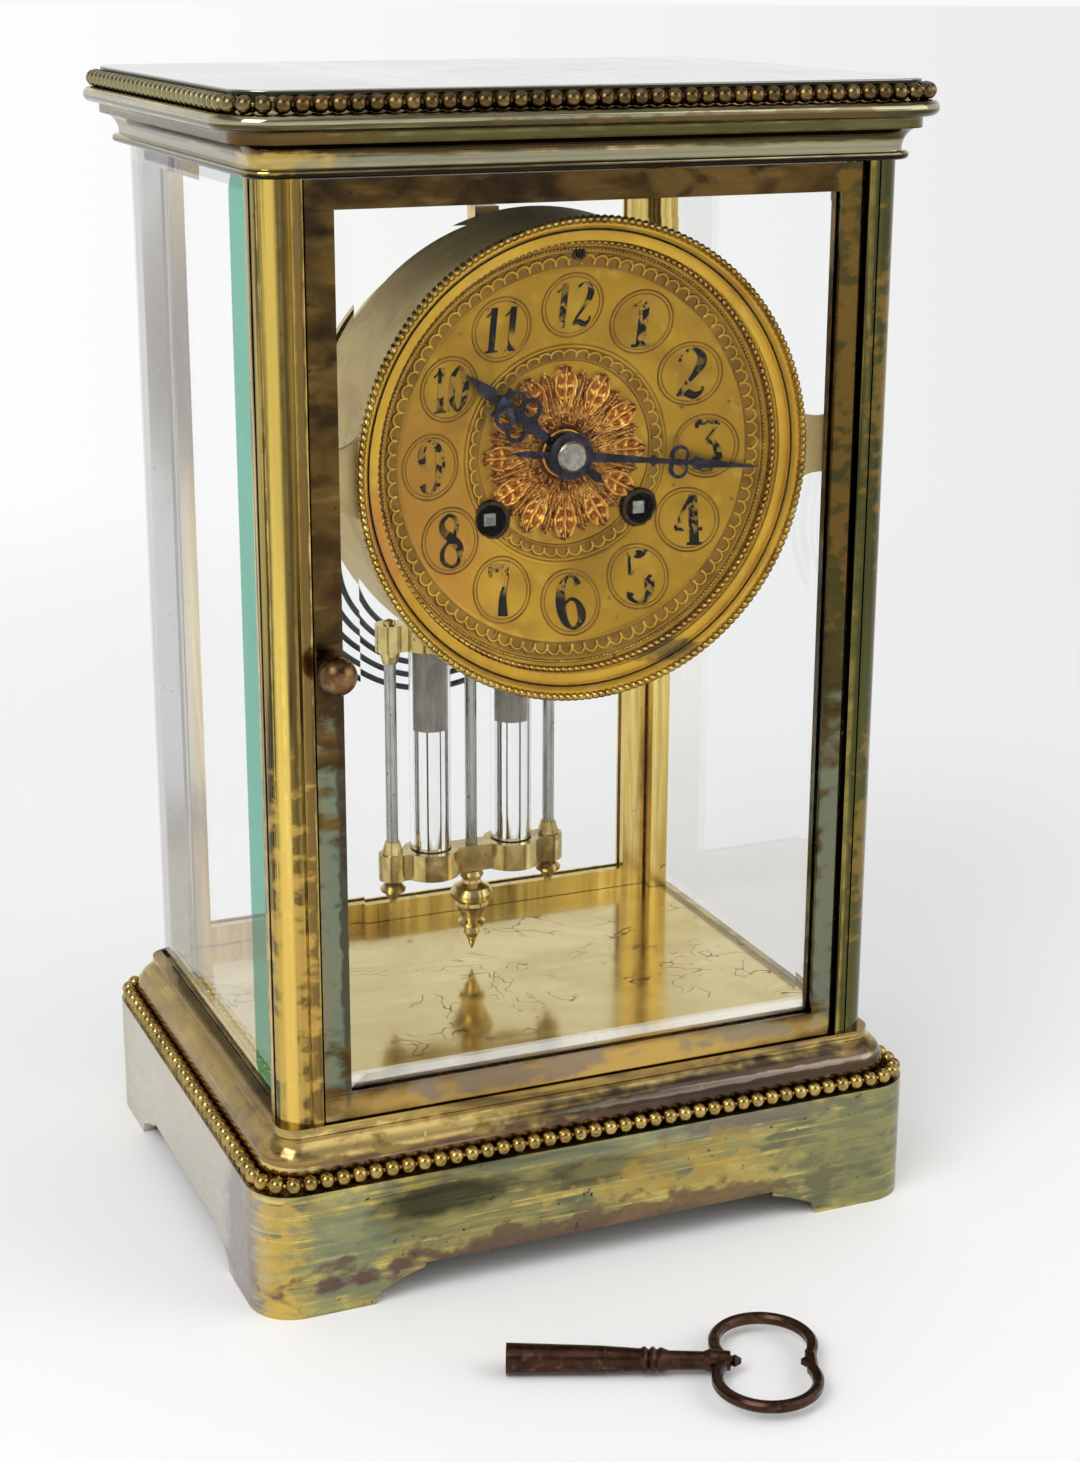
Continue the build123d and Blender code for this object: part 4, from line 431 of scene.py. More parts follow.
Finish("lid_plate", (0.6, 0.6, 0.59), (0.7, 0.7, 0.69), (0.46, 0.46, 0.44), (0.8, 0.79, 0.76), 14,
       (220, 8, 50), (0.6, 0.4, 0.5), 0.4).stained(
    # The dark band round the plate's edge is painted shade.
    ((0.035, 0.03, 0.014), (0, 0, 0.26765), (1, 1, 0.00072), 1.0, 0.0)).done(0.1, 0.05, "top_plate")


# Four drawn brass pillars carry the cornice: a round column between two flat strips, polished gold
# with brown stripes where the lacquer has run. On the front left pillar, dark lines and bands are
# painted shade in its recesses and on its column, and a bright band is a painted highlight. The
# screws and pins that hold the case are steel.
Finish("pillar_brass", (0.34, 0.25, 0.055), (0.72, 0.54, 0.14), (0.05, 0.034, 0.014),
       (0.92, 0.74, 0.25), (380, 380, 7), (900, 900, 9), (0.6, 1.0, 0.6), 0.6).stained(
    # Painted shade: dark lines down the recesses and the column of the front left pillar
    *[((0.055, 0.032, 0.014), (edge_x, -0.0565, 0.15), (half, 0.012, 1.0), amount, 0.35)
      for edge_x, half, amount in (
        (-0.0665, 0.0011, 0.92),
        (-0.07, 0.0012, 0.75),
        (-0.0758, 0.0008, 0.88))],
    # Painted light and shade across that column: a bright highlight, then a dark and a brown band of shade
    *[(colour, (edge_x, -0.06, 0.15), (half, 0.014, 0.3), 0.7, 0.1) for colour, edge_x, half in (
        ((0.92, 0.66, 0.15), -0.072, 0.0014),
        ((0.1, 0.06, 0.018), -0.069, 0.001),
        ((0.26, 0.16, 0.05), -0.0668, 0.0012))],
    ((0.72, 0.47, 0.11), (-0.0735, -0.06, 0.075), (0.008, 0.012, 0.04), 0.6, 1.2),
    ((0.055, 0.062, 0.024), (0.0735, -0.0565, 0.15), (0.01, 0.014, 0.3), 0.93, 0.2),
    ((0.36, 0.2, 0.035), (0.0735, -0.0565, 0.2), (0.005, 0.008, 0.03), 0.5, 1.5),
    ((0.34, 0.2, 0.04), (0.0735, -0.0565, 0.09), (0.005, 0.008, 0.025), 0.5, 1.5)).done(
    0.13, 0.12, "front_pillars")
gold_metal = Finish("golden_back_brass", (0.7, 0.51, 0.13), (0.86, 0.68, 0.24), (0.42, 0.29, 0.08),
                    (0.94, 0.8, 0.36), (200, 200, 9), (800, 800, 10), (0.6, 0.7, 0.5), 0.5).stained(
    # Behind the edge of the left pane the back pillar is painted grey, a painted reflection of the room
    # seen in the pane's bevel
    ((0.46, 0.46, 0.465), (-0.07, 0.0505, 0.15), (0.0105, 0.0055, 0.5), 0.97, 0.0)).done(
    0.16, 0.12, "back_pillars")
Finish("fixing_steel", (0.42, 0.41, 0.39), (0.55, 0.54, 0.52), (0.2, 0.18, 0.15), (0.66, 0.65, 0.62),
       200, (600, 600, 60)).done(0.22, 0.1, "case_screws", "front_door_pins", "back_door_pins")


# The doors are flat brass frames mitred flush: the free stile and top rail have gone dark brown,
# the hinge stile olive green, and the bottom rail is orange gold with violet grey clouds.
DOOR_FRONT = -0.055
Finish("door_brass", (0.055, 0.031, 0.012), (0.15, 0.09, 0.026), (0.016, 0.012, 0.009),
       (0.3, 0.19, 0.06), (40, 90, 60), (60, 420, 300), (0.75, 0.8, 0.35), 0.9).stained(
    *on_front(
        DOOR_FRONT,
        ((0.2, 0.25, 0.17), -0.062, 0.085, 0.006, 0.045, 0.8, 0.8),
        ((0.24, 0.2, 0.12), -0.0645, 0.08, 0.002, 0.04, 0.6, 0.9),
        ((0.07, 0.062, 0.02), 0.062, 0.19, 0.007, 0.11, 0.85, 0.5),
        ((0.23, 0.12, 0.025), 0.0622, 0.205, 0.005, 0.05, 0.55, 1.5),
        ((0.2, 0.22, 0.15), 0.0622, 0.085, 0.005, 0.045, 0.75, 0.7),
        ((0.62, 0.4, 0.11), 0.0, 0.0455, 0.075, 0.0048, 0.92, 0.15),
        ((0.26, 0.21, 0.17), -0.02, 0.047, 0.03, 0.0035, 0.75, 0.8),
        ((0.23, 0.21, 0.16), 0.04, 0.0465, 0.018, 0.003, 0.7, 0.8),
        ((0.58, 0.4, 0.1), -0.0657, 0.12, 0.0007, 0.09, 0.7, 0.6),
        ((0.045, 0.03, 0.02), -0.0595, 0.1, 0.0013, 0.07, 0.75, 0.8),
        ((0.4, 0.27, 0.06), 0.0655, 0.2, 0.0012, 0.06, 0.4, 1.4))).done(0.18, 0.15, "front_door_frame")
dress("back_door_frame", gold_metal)
Finish("knob_brass", (0.13, 0.07, 0.028), (0.22, 0.12, 0.05), (0.05, 0.028, 0.015), (0.4, 0.25, 0.1),
       150, 400, (0.6, 0.7, 0.5), 0.9).done(0.24, 0.2, "front_door_knob", "back_door_knob")


# Every side is closed with thick hand-bevelled plate glass. The bevels of the side panes catch the
# green of the glass along the front pillars; the rest is clear with a faint grey cast. The dark
# side of the room lies in front of the doors, so their panes are given a weak mirror image.
def clear_glass(name, tint, bend):
    material = bpy.data.materials.new(name)
    material.use_nodes = True
    glass = material.node_tree.nodes["Principled BSDF"]
    for label, value in (("Base Color", tint), ("Roughness", 0.0), ("IOR", bend),
                         ("Transmission Weight", 1.0)):
        fill(material.node_tree, glass.inputs[label], value)
    return material, material.node_tree, glass.inputs


DOOR_PANE_BEND = 1.16
LOWER_BEVEL_TOP = 0.05295
FRONT_BEVEL = -0.029
SIDE_PANE_BEND = 1.3
dress("back_door_glass", clear_glass("door_pane", (0.99, 0.995, 0.99), DOOR_PANE_BEND)[0])
# The lower bevel of the front pane mirrors the white table
front_pane, pane_tree, coat = clear_glass("front_pane", (0.99, 0.995, 0.99), DOOR_PANE_BEND)
parts = add(pane_tree, "ShaderNodeSeparateXYZ", {0: add(pane_tree, "ShaderNodeTexCoord").outputs["Object"]})
low_bevel = smooth_step(pane_tree, parts.outputs["Z"], LOWER_BEVEL_TOP, LOWER_BEVEL_TOP - 0.0002)
for label, value in (("Coat Weight", low_bevel), ("Coat IOR", 4.0), ("Coat Roughness", 0.03)):
    fill(pane_tree, coat[label], value)
dress("front_door_glass", front_pane)
side_pane, side_tree, side_shader = clear_glass("side_pane", (0.96, 0.975, 0.97), SIDE_PANE_BEND)
side_place = add(side_tree, "ShaderNodeTexCoord").outputs["Object"]
parts = add(side_tree, "ShaderNodeSeparateXYZ", {0: side_place})
front_bevel = smooth_step(side_tree, parts.outputs["Y"], FRONT_BEVEL, FRONT_BEVEL - 0.0008)
to_the_eye = add(side_tree, "ShaderNodeLightPath").outputs["Is Camera Ray"]
ripple = grain(side_tree, side_place, (90, 90, 35), 3)
green = mixed(side_tree, ripple, (0.003, 0.14, 0.06), (0.014, 0.25, 0.12))
tint = mixed(side_tree, times(side_tree, front_bevel, to_the_eye), (0.985, 0.99, 0.99), green)
fill(side_tree, side_shader["Base Color"], tint)
dress("side_glasses", side_pane)


# The case floor is a polished brass plate whose lacquer has crazed into fine dark scratches. The
# upright straps and the drum that hold the movement are plain brass, dulled to grey brown.
floor_finish = Finish("floor_brass", (0.74, 0.6, 0.27), (0.84, 0.72, 0.38), (0.58, 0.44, 0.16),
                      (0.92, 0.82, 0.48), 18, (30, 200, 30), (0.6, 0.5, 0.3), 0.35)
floor, floor_place = floor_finish.tree, floor_finish.place
wander = add(floor, "ShaderNodeTexNoise", {"Vector": floor_place, "Scale": 60}).outputs["Color"]
bent = add(floor, "ShaderNodeMix", {"Factor": 0.03, 4: floor_place, 5: wander},
           data_type="VECTOR").outputs[1]
cells = add(floor, "ShaderNodeTexVoronoi", {"Vector": bent, "Scale": 115}, feature="DISTANCE_TO_EDGE")
hair = smooth_step(floor, cells.outputs["Distance"], 0.034, 0.0)
broken = smooth_step(floor, grain(floor, floor_place, 80, 4), 0.52, 0.62)
crazed = times(floor, hair, times(floor, broken, 0.95))
floor_finish.colour = mixed(floor, crazed, floor_finish.colour, (0.12, 0.08, 0.03))
floor_finish.done(0.11, 0.06, "floor_plate")
Finish("drum_brass", (0.72, 0.54, 0.22), (0.8, 0.63, 0.28), (0.56, 0.41, 0.15), (0.86, 0.7, 0.34), 60,
       (60, 500, 60), (0.7, 0.6, 0.4), 0.5, metallic=0.3).done(0.4, 0.15, "drum_band", "mounting_straps")


# The movement is lacquered brass between two round plates, with steel arbors, blued mainsprings
# in their barrels and a polished steel anchor.
Finish("movement_brass", (0.62, 0.47, 0.19), (0.74, 0.59, 0.27), (0.4, 0.3, 0.12), (0.82, 0.68, 0.34),
       70, (500, 40, 60), (0.6, 0.5, 0.4), 0.4).done(
    0.2, 0.12, "movement_posts", "movement_front_plate", "movement_back_plate", "plate_pillars",
    "going_barrel", "strike_barrel", "suspension_cock", "hour_wheel", "minute_wheel", "cannon_pinion")
Finish("train_brass", (0.66, 0.5, 0.2), (0.78, 0.62, 0.28), (0.45, 0.33, 0.13), (0.86, 0.71, 0.36),
       90, (300, 60, 300), (0.5, 0.5, 0.4), 0.3).done(
    0.18, 0.1, "centre_arbor", "intermediate_wheel", "third_wheel", "escape_wheel", "strike_pin_wheel",
    "strike_fly")
Finish("movement_steel", (0.5, 0.49, 0.46), (0.66, 0.65, 0.62), (0.28, 0.26, 0.23), (0.78, 0.77, 0.74),
       120, (500, 60, 500), (0.6, 0.5, 0.4), 0.5).done(0.18, 0.1, "anchor", "hammer", "suspension_spring")
Finish("arbor_steel", (0.22, 0.21, 0.18), (0.34, 0.33, 0.29), (0.1, 0.09, 0.07), (0.5, 0.48, 0.43),
       260, 700, (0.6, 0.6, 0.5), 0.6).done(0.3, 0.2, "going_winding_arbor", "strike_winding_arbor")
Finish("regulator_steel", (0.05, 0.03, 0.018), (0.09, 0.05, 0.03), (0.03, 0.018, 0.01),
       (0.16, 0.09, 0.05), 260, 700).done(0.4, 0.2, "regulator_arbor")
Finish("spring_steel", (0.16, 0.18, 0.24), (0.24, 0.27, 0.34), (0.08, 0.09, 0.12), (0.36, 0.38, 0.42),
       90, (300, 30, 300)).done(0.22, 0.1, "going_mainspring", "strike_mainspring")


# A gong of blued steel wire hangs behind the movement on an iron arm. The wire is smooth and dark,
# the arm rough and dull.
Finish("gong_steel", (0.075, 0.088, 0.105), (0.12, 0.135, 0.15), (0.04, 0.045, 0.055),
       (0.2, 0.21, 0.22), 90, 200).done(0.3, 0.1, "gong")
Finish("bracket_iron", (0.1, 0.1, 0.1), (0.16, 0.155, 0.15), (0.05, 0.045, 0.04), (0.22, 0.21, 0.2),
       90, 200).done(0.4, 0.3, "gong_bracket")


# The pendulum carries two glass vials of mercury between lobed brass bars on steel rods, with a
# grey packing plug above each column and a turned brass rating nut below.
Finish("pendulum_brass", (0.5, 0.38, 0.13), (0.68, 0.55, 0.24), (0.3, 0.22, 0.08), (0.85, 0.72, 0.38),
       (90, 90, 60), 300, (0.7, 0.6, 0.4), 0.6).done(0.17, 0.12, "pendulum_bars", "rating_nut")
Finish("pendulum_steel", (0.36, 0.36, 0.34), (0.5, 0.5, 0.48), (0.22, 0.21, 0.19), (0.62, 0.62, 0.6),
       (160, 160, 40), (900, 900, 20), (0.6, 0.6, 0.5), 0.7).done(0.24, 0.15, "pendulum_rods")
dress("mercury_vials", clear_glass("vial_glass", (0.99, 0.99, 0.99), SIDE_PANE_BEND)[0])
Finish("quicksilver", (0.82, 0.83, 0.83), (0.86, 0.87, 0.87), (0.76, 0.77, 0.78), (0.9, 0.9, 0.9), 60,
       (200, 200, 20), (0.4, 0.3, 0.2), 0.0).done(-0.1, 0.02, "mercury")
Finish("packing_plug", (0.33, 0.3, 0.25), (0.42, 0.39, 0.32), (0.22, 0.19, 0.15), (0.5, 0.46, 0.38),
       (160, 160, 90), (900, 900, 90), (0.7, 0.6, 0.5), 0.7, metallic=0.0).done(0.6, 0.5, "vial_plugs")


# The dial is a dished sheet of pressed and gilt brass. Twelve double-ringed rounds carry worn black
# enamel numerals; a rosette of leaves fills the middle, and two bands of wave scroll run round.
MM = 0.001
DIAL_Z = 187.5
BEZEL_Y = -53.4
DISH = ((47.5, 5.7), (42.3, 7.1), (33.4, 9.6), (23.7, 12.2), (20.7, 13.3), (18.0, 13.9), (3.2, 14.3))
dish_r = np.array([r for r, depth in DISH][::-1])
dish_y = np.array([BEZEL_Y + depth for r, depth in DISH][::-1])
SHEET_THICK = 0.0007
REGULATOR_R = 45.0
# The centre of each hole in the dial, with the radius of its edge
HOLES = ((-18.2, -13.6, 3.85), (18.2, -13.6, 3.85), (0, REGULATOR_R, 1.35))
SCROLL_GAPS = (4.8, 4.8, 1.9)
ROSETTE_RISE = 1.5


def on_dish(x, z, lift=0.0):
    """The dished sheet's front, in millimetres, under a point given from the dial's centre."""
    return np.interp(np.hypot(x, z), dish_r, dish_y) - lift


def leaf(r, angle, root, tip, widest, half_angle):
    """The height, from 0 to 1, of one pressed leaf with a midrib, side veins and a raised edge."""
    along = np.clip((r - root) / (tip - root), 0, 1)
    width = half_angle * np.sin(pi * np.clip(along ** widest, 0, 1)) ** 0.9 * (1 - 0.35 * along ** 6)
    across = np.abs(angle) / np.maximum(width, 1e-4)
    inside = (across < 1) & (r > root) & (r < tip)
    edge = np.exp(-((across - 0.8) / 0.17) ** 2)
    rib = np.exp(-(across / 0.16) ** 2)
    veins = 0.14 * np.sin(34 * along - 5 * across)
    body = 0.34 + veins + 0.66 * np.maximum(edge, rib)
    fall = np.clip((1 - across) * 7, 0, 1) * np.clip(np.sin(pi * along) * 7, 0, 1)
    return np.where(inside, body * fall, 0)


def wrapped(angle, step, start=0.0):
    return (angle - start + step / 2) % step - step / 2


def rosette_height(r, a):
    big = leaf(r, wrapped(a, pi / 6), 5.8, 20.0, 1.7, 0.215)
    small = leaf(r, wrapped(a, pi / 6, pi / 12), 5.6, 14.2, 1.1, 0.12)
    stem = np.clip(1.4 - np.abs(wrapped(a, pi / 6, pi / 12)) * r / 0.3, 0, 1) * (r > 9) * (r < 16.2)
    bud = leaf(r, wrapped(a, pi / 6, pi / 12), 13.6, 18.8, 0.9, 0.068)
    ring = np.exp(-((r - 5.2) / 0.5) ** 2)
    return ROSETTE_RISE * np.maximum.reduce([big, 0.85 * small, 0.7 * stem, bud, ring])


def band_lines(r, places, width, rise):
    return sum(rise * np.exp(-((r - place) / width) ** 2) for place in places)


def on_dial(name, mesh):
    piece = bpy.data.objects.new(name, mesh)
    bpy.context.collection.objects.link(piece)
    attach(piece, "case")
    return piece


def pressed_sheet(name, inner, outer, rings, steps, relief, metals, zone):
    radii = np.linspace(inner, outer, rings)
    angles = np.linspace(0, 2 * pi, steps, endpoint=False)
    r, a = np.meshgrid(radii, angles, indexing="ij")
    x, z = r * np.cos(a), r * np.sin(a)
    y = on_dish(x, z, relief(r, a))
    keep = np.ones(r.shape, bool)
    for hole_x, hole_z, radius in HOLES:
        keep &= np.hypot(x - hole_x, z - hole_z) > radius
    points = np.stack([x * MM, y * MM, (z + DIAL_Z) * MM], -1).reshape(-1, 3)
    faces = []
    for i in range(rings - 1):
        for j in range(steps):
            k = (j + 1) % steps
            if keep[i, j] or keep[i, k] or keep[i + 1, j] or keep[i + 1, k]:
                faces.append((i * steps + j, (i + 1) * steps + j, (i + 1) * steps + k, i * steps + k))
    mesh = bpy.data.meshes.new(name)
    mesh.from_pydata(points.tolist(), [], faces)
    mesh.shade_smooth()
    for metal in metals:
        mesh.materials.append(metal)
    shares = zone(r, a).ravel()
    mesh.polygons.foreach_set("material_index",
                              [int(max(shares[corner] for corner in face)) for face in faces])
    cleaned = bmesh.new()
    cleaned.from_mesh(mesh)
    bmesh.ops.delete(cleaned, geom=[v for v in cleaned.verts if not v.link_faces], context="VERTS")
    if sum(face.normal.y for face in cleaned.faces) > 0:
        bmesh.ops.reverse_faces(cleaned, faces=cleaned.faces)
    cleaned.to_mesh(mesh)
    cleaned.free()
    sheet = on_dial(name, mesh)
    backed = sheet.modifiers.new("thickness", "SOLIDIFY")
    backed.thickness = SHEET_THICK
    backed.offset = -1
    return sheet


gilt_metal = Finish("dial_gilt", (0.4, 0.222, 0.014), (0.5, 0.295, 0.024), (0.27, 0.138, 0.012),
                    (0.64, 0.41, 0.07), 38, 240, (0.7, 0.6, 0.4), 0.6, metallic=0.8).stained(
    ((0.44, 0.19, 0.035), (-0.04, -0.045, 0.175), (0.024, 0.03, 0.034), 0.5, 0.7)).done(
    0.36, 0.3, depth=DEEP)
bright_gilt_metal = Finish("dial_gilt_high", (0.54, 0.32, 0.032), (0.66, 0.43, 0.06),
                           (0.4, 0.22, 0.022), (0.8, 0.56, 0.13), 60, 300, (0.6, 0.5, 0.4), 0.5).done(
    0.3, 0.2, depth=DEEP)
low_gilt_metal = Finish("dial_gilt_low", (0.25, 0.125, 0.014), (0.34, 0.185, 0.022),
                        (0.15, 0.072, 0.011), (0.5, 0.3, 0.055), 60, 300, (0.6, 0.7, 0.4), 0.7,
                        metallic=0.8).done(0.4, 0.3, depth=DEEP)
copper_metal = Finish("rosette_gilt", (0.74, 0.4, 0.085), (0.88, 0.56, 0.14), (0.58, 0.27, 0.06),
                      (0.94, 0.66, 0.2), 90, 300, (0.7, 0.6, 0.5), 0.7).done(0.28, 0.3, depth=DEEP)
# Copper painted dark for the shade in the hollows of the rosette
copper_in_painted_shade = Finish("rosette_recess", (0.36, 0.125, 0.024), (0.46, 0.19, 0.04),
                           (0.2, 0.065, 0.016), (0.58, 0.29, 0.07), 120, 400, (0.6, 0.6, 0.4), 0.5).done(
    0.4, 0.3, depth=DEEP)


def rosette_zone(r, a):
    """Which metal shows at each point: gilt ground, bright copper on the ridges, dark copper as painted
    shade in the hollows.
    """
    high = rosette_height(r, a) / ROSETTE_RISE
    near = np.maximum(high, rosette_height(r + 0.45, a) / ROSETTE_RISE) > 0.06
    return np.where(high > 0.42, 1, np.where(near | (r < 14.5), 2, 0))


rosette = pressed_sheet("dial_rosette", 3.2, 20.7, 76, 840, rosette_height,
                        (gilt_metal, copper_metal, copper_in_painted_shade), rosette_zone)
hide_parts("dial")
pressed_sheet("dial_inner_band", 20.7, 24.4, 14, 720,
              lambda r, a: band_lines(r, (21.0, 23.9), 0.22, 0.25), (gilt_metal, low_gilt_metal),
              lambda r, a: (np.abs(r - 22.45) < 1.2).astype(int))
pressed_sheet("dial_sheet", 24.4, 47.4, 92, 900,
              lambda r, a: band_lines(r, (25.0, 41.7, 45.4), 0.25, 0.2), (gilt_metal, low_gilt_metal),
              lambda r, a: ((np.abs(r - 43.55) < 1.6) | (np.abs(r - 45.9) < 0.12)).astype(int))


POINTS_PER_WAVE = 14


def scroll_line(name, radius, reach, slant, waves, wire, lift=0.18):
    """A raised wave scroll: a leaning wave that runs round the dial on its sheet, between the holes."""
    steps = waves * POINTS_PER_WAVE
    t = np.linspace(0, 2 * pi * waves, steps, endpoint=False)
    angle = t / waves - slant * np.cos(t) / radius
    r = radius + reach * np.sin(t)
    x, z = r * np.cos(angle), r * np.sin(angle)
    points = np.stack([x * MM, on_dish(x, z, lift) * MM, (z + DIAL_Z) * MM, np.ones(steps)], -1)
    clear = np.ones(steps, bool)
    for (hole_x, hole_z, _), gap in zip(HOLES, SCROLL_GAPS):
        clear &= np.hypot(x - hole_x, z - hole_z) > gap
    line = bpy.data.curves.new(name, "CURVE")
    line.dimensions = "3D"
    line.bevel_depth = wire * MM
    line.bevel_resolution = 1
    line.use_fill_caps = True
    order = np.roll(np.arange(steps), -int(np.flatnonzero(~clear)[0]))
    for run in np.split(order, np.flatnonzero(np.diff(clear[order].astype(int))) + 1):
        if clear[run[0]]:
            spline = line.splines.new("POLY")
            spline.points.add(len(run) - 1)
            spline.points.foreach_set("co", points[run].ravel())
    shape = bpy.data.objects.new(name + "_line", line)
    mesh = bpy.data.meshes.new_from_object(shape)
    bpy.data.objects.remove(shape)
    mesh.shade_smooth()
    mesh.materials.append(bright_gilt_metal)
    on_dial(name, mesh)


scroll_line("outer_scroll", 43.5, 1.05, 0.72, 88, 0.3)
scroll_line("inner_scroll", 22.45, 0.85, 0.7, 46, 0.28)

ROUND_R = 33.4


def round_middle(hour):
    return ROUND_R * sin(radians(30 * hour)), ROUND_R * cos(radians(30 * hour))


RING_TURNS, RING_SIDES = 56, 6
ring_points, ring_faces = [], []
for hour in range(12):
    middle_x, middle_z = round_middle(hour)
    for size, thick in ((7.2, 0.24), (6.4, 0.16)):
        start = len(ring_points)
        for i in range(RING_TURNS):
            angle = 2 * pi * i / RING_TURNS
            this, following = start + i * RING_SIDES, start + (i + 1) % RING_TURNS * RING_SIDES
            for j in range(RING_SIDES):
                across = 2 * pi * j / RING_SIDES
                reach = size + thick * cos(across)
                x, z = middle_x + reach * cos(angle), middle_z + reach * sin(angle)
                y = float(on_dish(x, z, 0.8 * thick * sin(across)))
                ring_points.append((x * MM, y * MM, (z + DIAL_Z) * MM))
                k = (j + 1) % RING_SIDES
                ring_faces.append((this + j, following + j, following + k, this + k))


def plain_piece(name, points, faces, material, smooth=True):
    mesh = bpy.data.meshes.new(name)
    mesh.from_pydata(points, [], faces)
    turned = bmesh.new()
    turned.from_mesh(mesh)
    bmesh.ops.recalc_face_normals(turned, faces=turned.faces)
    turned.to_mesh(mesh)
    turned.free()
    if smooth:
        mesh.shade_smooth()
    mesh.materials.append(material)
    on_dial(name, mesh)


plain_piece("numeral_rounds", ring_points, ring_faces, low_gilt_metal)

# The numerals are inlaid black enamel, drawn with broad and fine strokes of the pen, and much of
# the enamel has flaked off. Each stroke is a line of points across, up and wide, in hundredths.
STROKES = {
    "0": [[(30, 100, 5), (10, 78, 13), (7, 50, 16), (10, 22, 13), (30, 0, 5), (50, 22, 13), (53, 50, 16),
          (50, 78, 13), (30, 100, 5)]],
    "1": [[(32, 0, 15), (32, 50, 15), (32, 100, 15)], [(30, 98, 4), (18, 86, 4), (8, 80, 4)], [(12, 2, 5),
          (32, 2, 5), (52, 2, 5)]],
    "2": [[(10, 74, 12), (12, 90, 6), (30, 100, 5), (48, 88, 12), (50, 70, 15), (36, 46, 8), (16, 22, 5),
          (6, 4, 5)], [(6, 5, 6), (22, 12, 12), (40, 6, 12), (55, 14, 5), (57, 24, 4)]],
    "3": [[(8, 86, 5), (10, 97, 8), (30, 97, 8), (54, 97, 5)], [(54, 96, 4), (40, 76, 5), (28, 60, 5)],
          [(28, 60, 5), (46, 54, 10), (53, 32, 16), (42, 7, 10), (24, 0, 5), (8, 10, 8), (10, 20, 12)]],
    "4": [[(42, 0, 15), (42, 50, 15), (42, 100, 13)], [(40, 100, 5), (20, 66, 5), (2, 32, 5)],
          [(2, 31, 6), (30, 31, 6), (60, 31, 6)], [(26, 2, 5), (42, 2, 5), (58, 2, 5)]],
    "5": [[(14, 97, 5), (34, 93, 13), (54, 100, 5)], [(14, 97, 5), (13, 75, 5), (12, 54, 5)],
          [(12, 54, 5), (30, 64, 6), (48, 54, 12), (53, 30, 16), (42, 6, 10), (24, 0, 5), (8, 10, 8),
          (10, 20, 12)]],
    "6": [[(50, 82, 12), (44, 96, 6), (30, 100, 5), (12, 80, 12), (7, 48, 17), (12, 16, 12), (30, 0, 5),
          (48, 12, 11), (52, 30, 14), (44, 50, 8), (30, 56, 5), (14, 46, 4)]],
    "7": [[(6, 76, 5), (8, 92, 10), (26, 92, 13), (42, 90, 10), (56, 98, 5)], [(56, 98, 4), (42, 66, 6),
          (30, 36, 12), (26, 0, 17)]],
    "8": [[(30, 100, 5), (13, 88, 8), (14, 70, 12), (34, 52, 15), (50, 34, 14), (48, 10, 8), (30, 0, 5),
          (10, 12, 8), (10, 32, 7), (28, 50, 5), (44, 66, 7), (46, 88, 7), (30, 100, 5)]],
    "9": [[(10, 18, 12), (16, 4, 6), (30, 0, 5), (48, 20, 12), (53, 52, 17), (48, 84, 12), (30, 100, 5),
          (12, 88, 11), (8, 70, 14), (16, 50, 8), (30, 44, 5), (46, 54, 4)]],
}


def eased(points, parts=7):
    """A smooth line through the pen's points, widths included."""
    p = np.array(points) / 100
    p = np.vstack([2 * p[0] - p[1], p, 2 * p[-1] - p[-2]])
    out = []
    for a, b, c, d in zip(p, p[1:], p[2:], p[3:]):
        for t in np.linspace(0, 1, parts, endpoint=False):
            out.append(0.5 * (2 * b + (c - a) * t + (2 * a - 5 * b + 4 * c - d) * t * t
                              + (3 * b - a - 3 * c + d) * t ** 3))
    return np.array(out + [p[-2]])


ENAMEL = 0.1
LINE_WEIGHT = 0.68
numeral_points, numeral_faces = [], []
for hour in range(1, 13):
    digits = str(hour)
    tall, wide = (11.4, 10.8) if len(digits) == 1 else (10.0, 7.6)
    advance = 0.62 * wide
    centre_x, centre_z = round_middle(hour)
    for place_in_word, digit in enumerate(digits):
        left = centre_x + (place_in_word - len(digits) / 2) * advance + 0.02 * wide
        for stroke in STROKES[digit]:
            line = eased(stroke)
            xs, zs = left + line[:, 0] * wide, centre_z + (line[:, 1] - 0.5) * tall
            along = np.stack([np.gradient(xs), np.gradient(zs)], -1)
            along /= np.maximum(np.linalg.norm(along, axis=1, keepdims=True), 1e-6)
            half = line[:, 2] * wide * LINE_WEIGHT
            start = len(numeral_points)
            for x, z, (tx, tz), h in zip(xs, zs, along, half):
                for side, lift in ((1, ENAMEL), (-1, ENAMEL), (-1, -0.1), (1, -0.1)):
                    px, pz = x - side * h * tz, z + side * h * tx
                    py = float(on_dish(px, pz, lift))
                    numeral_points.append((px * MM, py * MM, (pz + DIAL_Z) * MM))
            count = len(xs)
            for i in range(count - 1):
                a, b = start + 4 * i, start + 4 * (i + 1)
                for j in range(4):
                    k = (j + 1) % 4
                    numeral_faces.append((a + j, a + k, b + k, b + j))
            numeral_faces.append((start, start + 1, start + 2, start + 3))
            last = start + 4 * (count - 1)
            numeral_faces.append((last, last + 3, last + 2, last + 1))
enamel = bpy.data.materials.new("worn_enamel")
enamel.use_nodes = True
enamel_tree = enamel.node_tree
enamel_shader = enamel_tree.nodes["Principled BSDF"].inputs
enamel_place = add(enamel_tree, "ShaderNodeTexCoord").outputs["Object"]
flaked = smooth_step(enamel_tree, grain(enamel_tree, enamel_place, 420, 6, 0.8), 0.475, 0.52)
patchy_loss = smooth_step(enamel_tree, grain(enamel_tree, enamel_place, 70, 3, 0.4), 0.44, 0.6)
lost = times(enamel_tree, flaked, patchy_loss)
